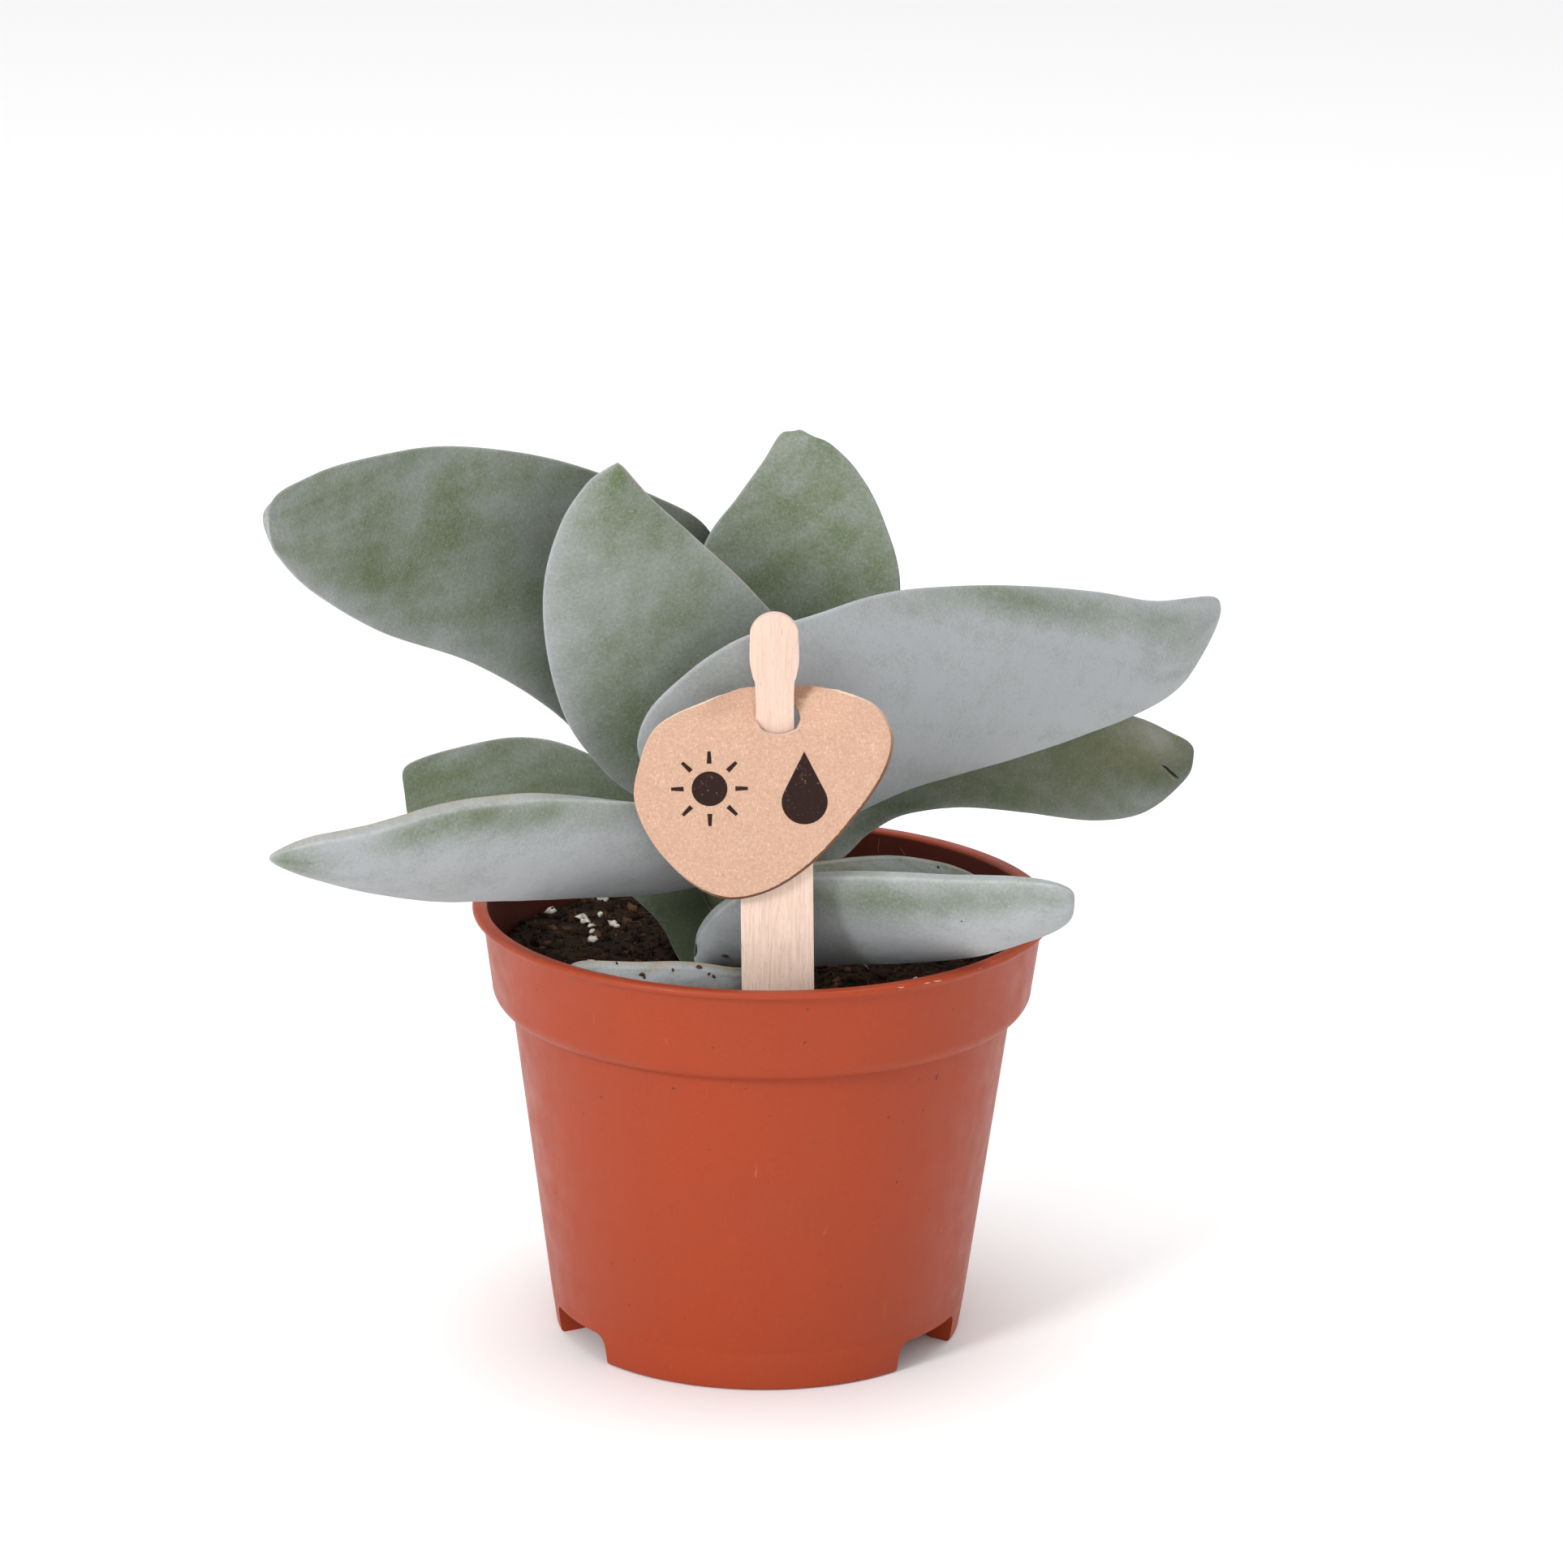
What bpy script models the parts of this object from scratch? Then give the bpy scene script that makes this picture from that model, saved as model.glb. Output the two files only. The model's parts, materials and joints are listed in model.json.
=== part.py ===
"""Potted crassula: a sickle-leaved succulent in a thin plastic nursery pot with a card tag on a stick.

The origin is on the pot's axis at the bottom of its foot ring, +Z is up and -Y is the front.
Lengths are written in millimetres and multiplied by MM where geometry is made.
"""

import math

import bmesh
import bpy
from mathutils import Euler, Vector, noise

MM = 0.001
GAP = 0.3

# Pot, a thin moulded shell with a collar, a lip and three feet
POT_HEIGHT = 80.0
LIP_RADIUS = 52.5
LIP_THICKNESS = 1.3
COLLAR_TOP_RADIUS = 50.6
COLLAR_LOW_RADIUS = 48.9
COLLAR_HEIGHT = 18.1
BODY_TOP_RADIUS = 45.4
BASE_RADIUS = 37.05
WALL = 0.9
FLOOR_UNDERSIDE = 7.0
FLOOR_TOP = 8.0
FOOT_RING_WIDTH = 4.8
FOOT_ROUNDING = 0.9
FOOT_DRAFT = 0.3
LIP_BEVEL = 0.8
LIP_FILLET = 0.4
COLLAR_ROUNDING = 3.5
GROOVE_DEPTH = 0.2
GROOVE_HEIGHT = 1.2
FLOOR_CORNER = 0.5
INNER_STEP = 4.4
INNER_STEP_CURVE = 0.8
POT_STEPS = 72
NOTCH_ANGLES = (-62.0, 58.0, 178.0)
NOTCH_WIDTH = 17.0
NOTCH_HEIGHT = 5.8
NOTCH_CORNER = 2.2
DRAIN_HOLES = 6
DRAIN_HOLE_RADIUS = 3.0
DRAIN_HOLE_CIRCLE = 24.0
DRAIN_HOLE_STEPS = 16

# Soil, which fills the pot to ten millimetres under the rim
SOIL_TOP = 69.4
SOIL_UNEVENNESS = 0.8
SOIL_LUMP_SIZE = 9.0
SOIL_STEPS = 48
SOIL_RINGS = 8

# Stem, a short fleshy trunk that the leaf bases clasp
STEM_CENTRE = (-9.0, 2.0)
STEM_BOTTOM = 44.0
STEM_TOP = 108.0
STEM_RADIUS = 6.0
STEM_TOP_ROUNDING = 3.0
STEM_TOP_SHARE = 0.86
STEM_BOTTOM_SHARE = 0.96
STEM_SWELLING = 0.2
STEM_NODE_SPACING = 9.0
STEM_STEPS = 20
STEM_RINGS = 12

# Leaves, fleshy blades with blunt margins
LEAF_MIDDLE_THICKNESS = 4.4
LEAF_MARGIN_THICKNESS = 2.6
LEAF_MARGIN_FLAT = 1.4
LEAF_MARGIN_ROUNDING = 0.6
LEAF_SHOULDER_PLACE = 0.55
LEAF_SHOULDER_FULLNESS = 0.6
LEAF_RINGS_PER_SPAN = 3
LEAF_END_FRACTIONS = (0.45, 0.75, 0.93)

# Label stick, a flat wooden lath with a rounded head above a narrow neck
STICK_WIDTH = 12.7
STICK_THICKNESS = 1.8
STICK_PLACE = (3.0, -37.0)
STICK_LEAN = math.radians(-1.3)
STICK_BOTTOM = 30.0
STICK_POINT_HEIGHT = 14.0
STICK_POINT_WIDTH = 3.0
STICK_SHOULDER = 112.0
STICK_CORNER = 0.8
STICK_EDGE_SOFTENING = 0.25
NECK_WIDTH = 6.7
NECK_BOTTOM = 117.0
NECK_TOP = 130.5
HEAD_WIDTH = 8.5
HEAD_WIDEST = 138.0
HEAD_CENTRE = 140.4
HEAD_TOP = 144.8
STICK_SLOT_DEPTH = 39.7

# Card tag, hung on the neck through a curved slit
TAG_THICKNESS = 0.9
TAG_SLIT_WIDTH = 8.0
TAG_SLIT_MIDDLE = 0.3
TAG_SLIT_BOTTOM = 122.9
TAG_SLIT_TOP = 129.0
TAG_BEND_BOTTOM = 125.3
TAG_BEND_TOP = 129.3
TAG_DENT_INNER = 4.6
TAG_DENT_OUTER = 12.0
TAG_HANG = 0.05
TAG_CLEARANCE = 0.5
TAG_FOLD_HEIGHTS = (125.3, 126.3, 127.3, 128.3, 129.3)
TAG_FOLD_REACHES = (4.6, 6.5, 9.0, 12.0)

# Margins of each leaf, from base to tip: the upper margin's point, then the lower margin's.
# The number before them is the side that the blade bulges to, seen along it with its upper margin up.
LEAVES = {
    "leaf_upper_left": (1, [
        ((-7, 10, 102), (-14, 6, 90)),
        ((-6, 17, 130), (-22, 8, 97)),
        ((-11, 17, 145.5), (-29.5, 5, 105)),
        ((-21, 9, 153.5), (-38.5, -4, 117)),
        ((-38, -6, 163.5), (-52, -15, 128.5)),
        ((-56.5, -22, 169.5), (-67, -30, 138)),
        ((-71.5, -40, 171), (-78, -46, 149.5)),
        ((-81, -53, 170), (-83.5, -55, 158.5)),
        ((-84, -59, 169.5), (-84.5, -59, 163)),
    ]),
    "leaf_centre_left": (-1, [
        ((-21, -6.3, 98), (-5, -4.1, 103)),
        ((-28.5, -9, 107), (-2, -7, 108)),
        ((-35, -14, 117.5), (4.5, -9, 118)),
        ((-38.5, -19, 131.5), (4.5, -11, 131.5)),
        ((-39, -22, 145), (-2.5, -14, 142)),
        ((-36, -24, 156.5), (-13, -18, 153)),
        ((-31.5, -25, 164), (-20.5, -22, 161)),
        ((-27.5, -26, 168), (-24.5, -26, 167.5)),
    ]),
    "leaf_centre_right": (-1, [
        ((-9, 9, 104), (1, 4, 104)),
        ((-13.5, 8, 117.5), (10, 8, 110)),
        ((-14.5, 9, 131.5), (22, 14, 122.5)),
        ((-11.5, 11, 144), (24, 20, 134)),
        ((-6, 17, 150.5), (21, 26, 144)),
        ((-1.5, 25, 155), (16.5, 31, 151.5)),
        ((2, 32, 159), (11, 33, 157)),
        ((4.5, 33, 160), (7, 33, 159.5)),
    ]),
    "leaf_upper_right": (1, [
        ((-22, -19, 110), (-17.5, -12, 101)),
        ((-22.5, -24, 118), (-10.5, -4.8, 93)),
        ((-18.5, -28, 127), (1.5, -5.5, 93)),
        ((-6.5, -29, 137), (11.5, -4, 96.5)),
        ((8, -22, 140.5), (24, 3, 100.5)),
        ((22.5, -8, 141), (38, 13, 102)),
        ((40, 8, 138), (52.5, 24, 103.5)),
        ((58.5, 27, 132), (66.5, 36, 105.5)),
        ((73, 41, 126.5), (76.5, 46, 108.5)),
        ((84.5, 54, 126.5), (85, 54, 117)),
    ]),
    "leaf_lower_right": (-1, [
        ((-4, 6.5, 93), (-4, 4.5, 84)),
        ((10, 8, 101), (10, 4, 86)),
        ((20.5, 12, 104.5), (16.5, 8, 90.5)),
        ((35, 20, 107), (23.5, 14, 93.5)),
        ((47.5, 30, 107.5), (35.5, 24, 91.5)),
        ((60, 42, 105.5), (48, 34, 87.5)),
        ((69.5, 50, 101.5), (61.5, 46, 82.5)),
        ((77, 57, 96.5), (72.5, 54, 82)),
        ((81.5, 59.5, 93.5), (81, 59.5, 86)),
    ]),
    "leaf_lower_left": (1, [
        ((-8.5, -5.1, 79), (-15.5, -6, 71.5)),
        ((-15, -2.5, 91), (-20, -4, 77.5)),
        ((-21, -0.5, 101), (-26, -2, 83.5)),
        ((-33.5, 3.5, 107.7), (-35.5, 2, 87)),
        ((-44.5, 14, 106.5), (-47, 12, 88)),
        ((-57, 22, 103), (-57.5, 21, 88)),
        ((-68.5, 28, 98.5), (-68, 28, 87)),
    ]),
    "leaf_front_left": (-1, [
        ((-2.5, -24, 103.5), (2.5, -6, 86)),
        ((-11.5, -27, 106.5), (-7.5, -4.7, 86)),
        ((-21.5, -31, 108.5), (-20.5, -14, 86.5)),
        ((-34, -36, 110.5), (-34.5, -22, 88)),
        ((-45.5, -41, 111.5), (-47, -30, 90)),
        ((-56.5, -46, 111), (-58, -38, 92)),
        ((-68, -51, 109.5), (-69, -46, 96)),
        ((-77.5, -55, 108), (-77.5, -52, 100)),
        ((-84.5, -57, 106.5), (-85, -57, 103.5)),
    ]),
    "leaf_front_right": (1, [
        ((-10, -20, 84), (-12, -14, 76)),
        ((-7, -23, 88.5), (-6.5, -4.3, 75)),
        ((-1, -27, 93.5), (3, -11, 74)),
        ((10, -31, 97), (12, -18, 74)),
        ((24, -36, 98.5), (24.5, -25, 76.5)),
        ((36.5, -40, 99.2), (37.5, -31, 80)),
        ((47, -43, 99), (47.5, -37, 85.3)),
        ((54.3, -44, 97.8), (54.3, -41, 90)),
    ]),
    "leaf_inner_right": (1, [
        ((-2.3, 0, 79), (-3.3, 1, 73)),
        ((3, -2, 86.5), (3, 0, 79.5)),
        ((13, 2, 87.5), (13.5, 4, 79)),
        ((23.5, 8, 86.5), (23.5, 10, 78)),
        ((32.5, 14, 83.5), (32.5, 16, 77)),
        ((39.5, 18, 80.5), (39.5, 20, 77)),
    ]),
    "leaf_soil_front": (-1, [
        ((0, -24, 77.5), (-4, -10, 72)),
        ((-3.5, -31, 77), (-10, -16, 71.5)),
        ((-12.5, -34, 79), (-17, -20, 71.5)),
        ((-22.5, -35, 80.5), (-25, -22, 71.5)),
        ((-31.5, -33, 80), (-31, -24, 72)),
        ((-35, -30, 78.5), (-35, -27, 73)),
    ]),
}

# How deep each blade's cross-section is cupped, as a fraction of its half width
LEAF_CUPPING = {
    "leaf_upper_left": 0.12,
    "leaf_centre_left": 0.04,
    "leaf_centre_right": 0.12,
    "leaf_upper_right": 0.14,
    "leaf_lower_right": 0.10,
    "leaf_lower_left": 0.10,
    "leaf_front_left": 0.16,
    "leaf_front_right": 0.16,
    "leaf_inner_right": 0.10,
    "leaf_soil_front": 0.12,
}

# Outline of the card tag round the lath's axis, clockwise from above the slit: (across, height)
TAG_OUTLINE = (
    (-3.4, 130.5), (4.8, 131.0), (11.8, 130.3), (17.6, 127.6), (20.2, 122.3), (18.6, 115.6),
    (13.0, 107.3), (6.4, 100.2), (-1.0, 95.4), (-8.7, 94.0), (-15.2, 96.8), (-21.0, 103.1),
    (-24.4, 110.5), (-24.0, 116.6), (-20.6, 124.2), (-12.0, 128.7),
)


def material(name, colour, roughness):
    """A plain Principled material."""
    made = bpy.data.materials.new(name)
    made.use_nodes = True
    shader = made.node_tree.nodes["Principled BSDF"]
    shader.inputs["Base Color"].default_value = (*colour, 1.0)
    shader.inputs["Roughness"].default_value = roughness
    shader.inputs["Metallic"].default_value = 0.0
    return made


def collection(name):
    made = bpy.data.collections.new(name)
    bpy.context.scene.collection.children.link(made)
    return made


def new_object(name, mesh, home, finish=None):
    """An object for the mesh, in the collection, with its material."""
    made = bpy.data.objects.new(name, mesh)
    home.objects.link(made)
    if finish:
        mesh.materials.clear()
        mesh.materials.append(finish)
    return made


def mesh_from(name, work):
    mesh = bpy.data.meshes.new(name)
    work.to_mesh(mesh)
    work.free()
    return mesh


def shade_round(mesh, sharp_degrees=40.0):
    mesh.shade_smooth()
    mesh.set_sharp_from_angle(angle=math.radians(sharp_degrees))


def turned(name, profile, steps, home, finish=None):
    """A body of revolution: a profile of (radius, height) that runs down its outer side."""
    work = bmesh.new()
    points = [work.verts.new((radius * MM, 0, height * MM)) for radius, height in profile]
    for first, second in zip(points, points[1:]):
        work.edges.new((first, second))
    made = new_object(name, mesh_from(name, work), home, finish)
    screw = made.modifiers.new("turn", "SCREW")
    screw.steps = steps
    screw.render_steps = steps
    screw.use_merge_vertices = True
    screw.merge_threshold = 1e-5
    screw.use_smooth_shade = True
    return made


def applied(made):
    """The object with its modifiers made part of its mesh."""
    bpy.context.view_layer.update()
    seen = made.evaluated_get(bpy.context.evaluated_depsgraph_get())
    mesh = bpy.data.meshes.new_from_object(seen)
    made.modifiers.clear()
    old = made.data
    made.data = mesh
    bpy.data.meshes.remove(old)
    return made


def as_cutter(made):
    made.hide_render = True
    made.display_type = "WIRE"
    return made


def cut(made, cutter, name):
    change = made.modifiers.new(name, "BOOLEAN")
    change.operation = "DIFFERENCE"
    change.solver = "EXACT"
    change.object = cutter
    return change


def box(name, size, centre, home, turn=0.0, corner=0.0):
    """A box, turned about Z, whose two upper radial edges may be rounded."""
    work = bmesh.new()
    bmesh.ops.create_cube(work, size=1.0)
    bmesh.ops.scale(work, vec=[side * MM for side in size], verts=work.verts)
    if corner:
        top = [edge for edge in work.edges if is_upper_radial(edge)]
        bmesh.ops.bevel(work, geom=top, offset=corner * MM, segments=4, profile=0.5, affect="EDGES")
    made = new_object(name, mesh_from(name, work), home)
    made.rotation_euler = Euler((0, 0, turn))
    made.location = Vector(centre) * MM
    return made


def is_upper_radial(edge):
    first, second = (vertex.co for vertex in edge.verts)
    return first.z > 0 and second.z > 0 and abs(first.x - second.x) < 1e-9


def rim_direction(degrees):
    """The horizontal direction at an angle from the front, positive to the right."""
    angle = math.radians(degrees)
    return Vector((math.sin(angle), -math.cos(angle), 0))


def arc(centre, radius, start, end, steps):
    """Points on an arc, from one angle to the other, in degrees."""
    angles = [math.radians(start + (end - start) * step / steps) for step in range(steps + 1)]
    return [(centre[0] + radius * math.cos(a), centre[1] + radius * math.sin(a)) for a in angles]


def body_radius(height):
    """The outer radius of the tapered body below the collar."""
    top = POT_HEIGHT - COLLAR_HEIGHT
    return BASE_RADIUS + (BODY_TOP_RADIUS - BASE_RADIUS) * height / top


def pot_inner_profile(inset):
    """The inner wall from the floor up into the collar, moved inwards by the inset."""
    collar_bottom = POT_HEIGHT - COLLAR_HEIGHT
    body = BODY_TOP_RADIUS - WALL - inset
    collar = COLLAR_LOW_RADIUS - WALL - inset
    return [
        (body_radius(FLOOR_TOP) - WALL - inset, FLOOR_TOP),
        (body, collar_bottom + INNER_STEP * 0.1),
        (body + INNER_STEP_CURVE, collar_bottom + INNER_STEP * 0.3),
        (collar - INNER_STEP_CURVE, collar_bottom + INNER_STEP * 0.6),
        (collar, collar_bottom + INNER_STEP),
    ]


def pot_profile():
    """The shell's section: up the inner wall, over the lip, down the outer wall and under the floor."""
    collar_bottom = POT_HEIGHT - COLLAR_HEIGHT
    inner_lip = COLLAR_TOP_RADIUS - WALL
    foot_inner = BASE_RADIUS - FOOT_RING_WIDTH
    lip_edge = LIP_THICKNESS / 2
    lip_underside = POT_HEIGHT - LIP_THICKNESS
    groove = BODY_TOP_RADIUS - GROOVE_DEPTH
    floor_corner = FLOOR_UNDERSIDE + FLOOR_CORNER
    profile = [(0, FLOOR_TOP)]
    profile += pot_inner_profile(0)
    profile += arc((inner_lip + LIP_BEVEL, POT_HEIGHT - LIP_BEVEL), LIP_BEVEL, 180, 90, 2)
    profile += arc((LIP_RADIUS - lip_edge, POT_HEIGHT - lip_edge), lip_edge, 90, -90, 4)
    profile += [(COLLAR_TOP_RADIUS + LIP_FILLET, lip_underside)]
    profile += [(COLLAR_TOP_RADIUS, lip_underside - LIP_FILLET)]
    collar_turn = (COLLAR_LOW_RADIUS - COLLAR_ROUNDING, collar_bottom + COLLAR_ROUNDING)
    profile += arc(collar_turn, COLLAR_ROUNDING, 0, -80, 4)
    profile += [(BODY_TOP_RADIUS, collar_bottom), (groove, collar_bottom - GROOVE_HEIGHT)]
    profile += [(body_radius(floor_corner), floor_corner)]
    profile += arc((BASE_RADIUS - FOOT_ROUNDING, FOOT_ROUNDING), FOOT_ROUNDING, 0, -90, 3)
    profile += arc((foot_inner + FOOT_ROUNDING, FOOT_ROUNDING), FOOT_ROUNDING, -90, -180, 2)
    profile += [(foot_inner - FOOT_DRAFT, FLOOR_UNDERSIDE), (0, FLOOR_UNDERSIDE)]
    return profile


def foot_block(name, margin, height, degrees, home, corner=0.0):
    """A cutter across the foot ring, as wide as a notch and a margin on each side."""
    size = (NOTCH_WIDTH + 2 * margin, 2 * FOOT_RING_WIDTH, 2 * height)
    place = rim_direction(degrees) * (BASE_RADIUS - FOOT_RING_WIDTH / 2)
    return as_cutter(box(name, size, place, home, math.radians(degrees), corner))


def make_foot_hollows(home):
    """The channel inside each foot: a ring, less the solid webs at the notches."""
    inner = BASE_RADIUS - FOOT_RING_WIDTH + WALL
    outer = BASE_RADIUS - WALL
    bottom = WALL + FOOT_DRAFT
    top = FLOOR_TOP + WALL
    profile = [(inner, top), (outer, top), (outer, bottom), (inner, bottom), (inner, top)]
    ring = applied(turned("foot_hollow_cutter", profile, POT_STEPS, home))
    for number, degrees in enumerate(NOTCH_ANGLES):
        web = foot_block(f"web_{number}", WALL, 2 * FLOOR_TOP, degrees, home)
        cut(ring, web, f"web_{number}")
    return as_cutter(ring)


def round_hole(name, radius, depth, steps, home):
    """A cylinder that cuts a round hole."""
    work = bmesh.new()
    bmesh.ops.create_cone(
        work, cap_ends=True, segments=steps, radius1=radius * MM, radius2=radius * MM, depth=depth * MM
    )
    return as_cutter(new_object(name, mesh_from(name, work), home))


def make_pot(home, cutters):
    finish = material("terracotta_plastic", (0.48, 0.085, 0.036), 0.42)
    pot = turned("pot", pot_profile(), POT_STEPS, home, finish)
    for number, degrees in enumerate(NOTCH_ANGLES):
        notch = foot_block(f"notch_{number}", 0, NOTCH_HEIGHT, degrees, cutters, NOTCH_CORNER)
        cut(pot, notch, f"notch_{number}")
    cut(pot, make_foot_hollows(cutters), "foot_hollows")
    for number in range(DRAIN_HOLES):
        hole = round_hole(f"drain_{number}", DRAIN_HOLE_RADIUS, FLOOR_TOP, DRAIN_HOLE_STEPS, cutters)
        place = rim_direction(NOTCH_ANGLES[0] + 360 * number / DRAIN_HOLES) * DRAIN_HOLE_CIRCLE
        hole.location = (place + Vector((0, 0, FLOOR_TOP))) * MM
        cut(pot, hole, f"drain_{number}")
    applied(pot)
    shade_round(pot.data)
    return pot


def soil_profile():
    """The soil's section: its top from the middle out, then down beside the pot's wall."""
    edge_radius = COLLAR_LOW_RADIUS - WALL - GAP
    profile = [(edge_radius * ring / SOIL_RINGS, SOIL_TOP) for ring in range(SOIL_RINGS + 1)]
    wall = pot_inner_profile(GAP)
    wall[0] = (wall[0][0], FLOOR_TOP + GAP)
    profile += reversed(wall)
    profile += [(0, FLOOR_TOP + GAP)]
    return profile


def make_soil(home, cutters):
    finish = material("peat", (0.018, 0.011, 0.008), 0.95)
    soil = turned("soil", soil_profile(), SOIL_STEPS, home, finish)
    applied(soil)
    for vertex in soil.data.vertices:
        if vertex.co.z > (SOIL_TOP - GAP) * MM:
            lump = noise.noise(vertex.co / (SOIL_LUMP_SIZE * MM))
            vertex.co.z += SOIL_UNEVENNESS * lump * MM
    size = (STICK_WIDTH + 2 * GAP, STICK_THICKNESS + 2 * GAP, 2 * STICK_SLOT_DEPTH)
    slot = box("stick_slot", size, (*STICK_PLACE, SOIL_TOP), cutters)
    slot.rotation_euler = Euler((0, STICK_LEAN, 0))
    cut(soil, as_cutter(slot), "stick_slot")
    depth = 2 * (SOIL_TOP - STEM_BOTTOM + GAP)
    hole = round_hole("stem_hole", STEM_RADIUS + GAP, depth, STEM_STEPS, cutters)
    hole.location = Vector((*STEM_CENTRE, SOIL_TOP)) * MM
    cut(soil, hole, "stem_hole")
    applied(soil)
    shade_round(soil.data, 60)
    return soil


def make_stem(home):
    """The trunk, which swells a little at each pair of leaves and ends in a blunt bud."""
    neck = STEM_TOP - STEM_TOP_ROUNDING
    profile = [(0, STEM_TOP), (STEM_RADIUS * 0.45, STEM_TOP - STEM_TOP_ROUNDING * 0.25)]
    for ring in range(STEM_RINGS + 1):
        height = neck - (neck - SOIL_TOP) * ring / STEM_RINGS
        swelling = STEM_SWELLING * math.cos(2 * math.pi * (height - SOIL_TOP) / STEM_NODE_SPACING)
        share = STEM_TOP_SHARE + (STEM_BOTTOM_SHARE - STEM_TOP_SHARE) * ring / STEM_RINGS
        profile.append((STEM_RADIUS * share + swelling, height))
    profile += [(STEM_RADIUS * STEM_BOTTOM_SHARE, SOIL_TOP - STEM_RADIUS)]
    profile += [(STEM_RADIUS * 0.7, STEM_BOTTOM + 2), (0, STEM_BOTTOM)]
    finish = material("stem_green", (0.12, 0.14, 0.06), 0.6)
    stem = turned("stem", profile, STEM_STEPS, home, finish)
    stem.location = Vector((*STEM_CENTRE, 0)) * MM
    return stem


def spline_point(points, span, part):
    """A point of the smooth curve through the points, a part of the way along a span."""
    before = points[max(span - 1, 0)]
    start = points[span]
    end = points[span + 1]
    after = points[min(span + 2, len(points) - 1)]
    square = part * part
    cube = square * part
    return 0.5 * (
        2 * start
        + (end - before) * part
        + (2 * before - 5 * start + 4 * end - after) * square
        + (3 * start - before - 3 * end + after) * cube
    )


def leaf_places(spans):
    """Where the blade's rings lie: span, part of it, and how far the end's rounding has closed there."""
    places = []
    for fraction in reversed(LEAF_END_FRACTIONS):
        places.append((0, 1 - fraction, math.sqrt(1 - fraction * fraction)))
    for span in range(1, spans - 1):
        for step in range(LEAF_RINGS_PER_SPAN):
            places.append((span, step / LEAF_RINGS_PER_SPAN, 1.0))
    places.append((spans - 1, 0.0, 1.0))
    for fraction in LEAF_END_FRACTIONS:
        places.append((spans - 1, fraction, math.sqrt(1 - fraction * fraction)))
    return places


def blade_section(half_width, closing):
    """Half of the blunt-edged section, as (across, thickness) from one margin to the other."""
    flat = LEAF_MARGIN_FLAT / 2 * closing
    edge = LEAF_MARGIN_THICKNESS / 2 * closing
    middle = LEAF_MIDDLE_THICKNESS / 2 * closing
    shoulder = edge + (middle - edge) * LEAF_SHOULDER_FULLNESS
    reach = half_width * LEAF_SHOULDER_PLACE
    rounding = min(LEAF_MARGIN_ROUNDING, half_width * 0.3)
    return [
        (half_width, flat),
        (half_width - rounding, edge),
        (reach, shoulder),
        (0, middle),
        (-reach, shoulder),
        (rounding - half_width, edge),
        (-half_width, flat),
    ]


def along_leaf(upper, lower, span, part):
    """Twice the middle line's point, kept within the span."""
    part = min(max(part, 0), 1)
    return spline_point(upper, span, part) + spline_point(lower, span, part)


def make_leaf(name, home, finish):
    """A fleshy blade lofted between its two margins, with a cupped, blunt-edged section."""
    side, stations = LEAVES[name]
    upper = [Vector(pair[0]) for pair in stations]
    lower = [Vector(pair[1]) for pair in stations]
    spans = len(stations) - 1
    cupping = side * LEAF_CUPPING[name]
    work = bmesh.new()
    rings = []
    for span, part, closing in leaf_places(spans):
        high = spline_point(upper, span, part)
        low = spline_point(lower, span, part)
        middle = (high + low) / 2
        ahead = along_leaf(upper, lower, span, part + 0.05)
        behind = along_leaf(upper, lower, span, part - 0.05)
        across = (high - low).normalized()
        outwards = (ahead - behind).cross(across).normalized()
        half_width = (high - low).length / 2 * closing
        section = blade_section(half_width, closing)
        cup = [cupping * half_width * (1 - (reach / half_width) ** 2) for reach, _ in section]
        front = [
            middle + across * reach + outwards * (depth + thickness)
            for (reach, thickness), depth in zip(section, cup)
        ]
        back = [
            middle + across * reach + outwards * (depth - thickness)
            for (reach, thickness), depth in zip(section, cup)
        ]
        rings.append([work.verts.new(point * MM) for point in front + back[::-1]])
    for first, second in zip(rings, rings[1:]):
        count = len(first)
        for index in range(count):
            following = (index + 1) % count
            work.faces.new((first[index], first[following], second[following], second[index]))
    ends = ((rings[0], upper[0] + lower[0]), (rings[-1], upper[-1] + lower[-1]))
    for ring, twice_end in ends:
        pole = work.verts.new(twice_end / 2 * MM)
        for index, vertex in enumerate(ring):
            work.faces.new((vertex, ring[(index + 1) % len(ring)], pole))
    bmesh.ops.recalc_face_normals(work, faces=work.faces)
    bmesh.ops.triangulate(work, faces=work.faces)
    made = new_object(name, mesh_from(name, work), home, finish)
    shade_round(made.data, 60)
    return made


def stick_outline():
    """The lath's outline in its own plane: point, sides, shoulders, neck and rounded head."""
    half = STICK_WIDTH / 2
    neck = NECK_WIDTH / 2
    head = HEAD_WIDTH / 2
    right = [
        (STICK_POINT_WIDTH / 2, STICK_BOTTOM),
        (half, STICK_BOTTOM + STICK_POINT_HEIGHT),
        (half, STICK_SHOULDER),
        (half - STICK_CORNER, STICK_SHOULDER + 2 * STICK_CORNER),
        (neck + STICK_CORNER, NECK_BOTTOM - 2 * STICK_CORNER),
        (neck, NECK_BOTTOM),
        (neck, NECK_TOP),
        (neck + STICK_CORNER / 2, NECK_TOP + 3 * STICK_CORNER),
        (head, HEAD_WIDEST - 3 * STICK_CORNER),
        (head, HEAD_WIDEST + STICK_CORNER),
    ]
    right += arc((0, HEAD_CENTRE), HEAD_TOP - HEAD_CENTRE, 15, 90, 5)
    left = [(-x, z) for x, z in reversed(right[:-1])]
    return right + left


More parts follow.
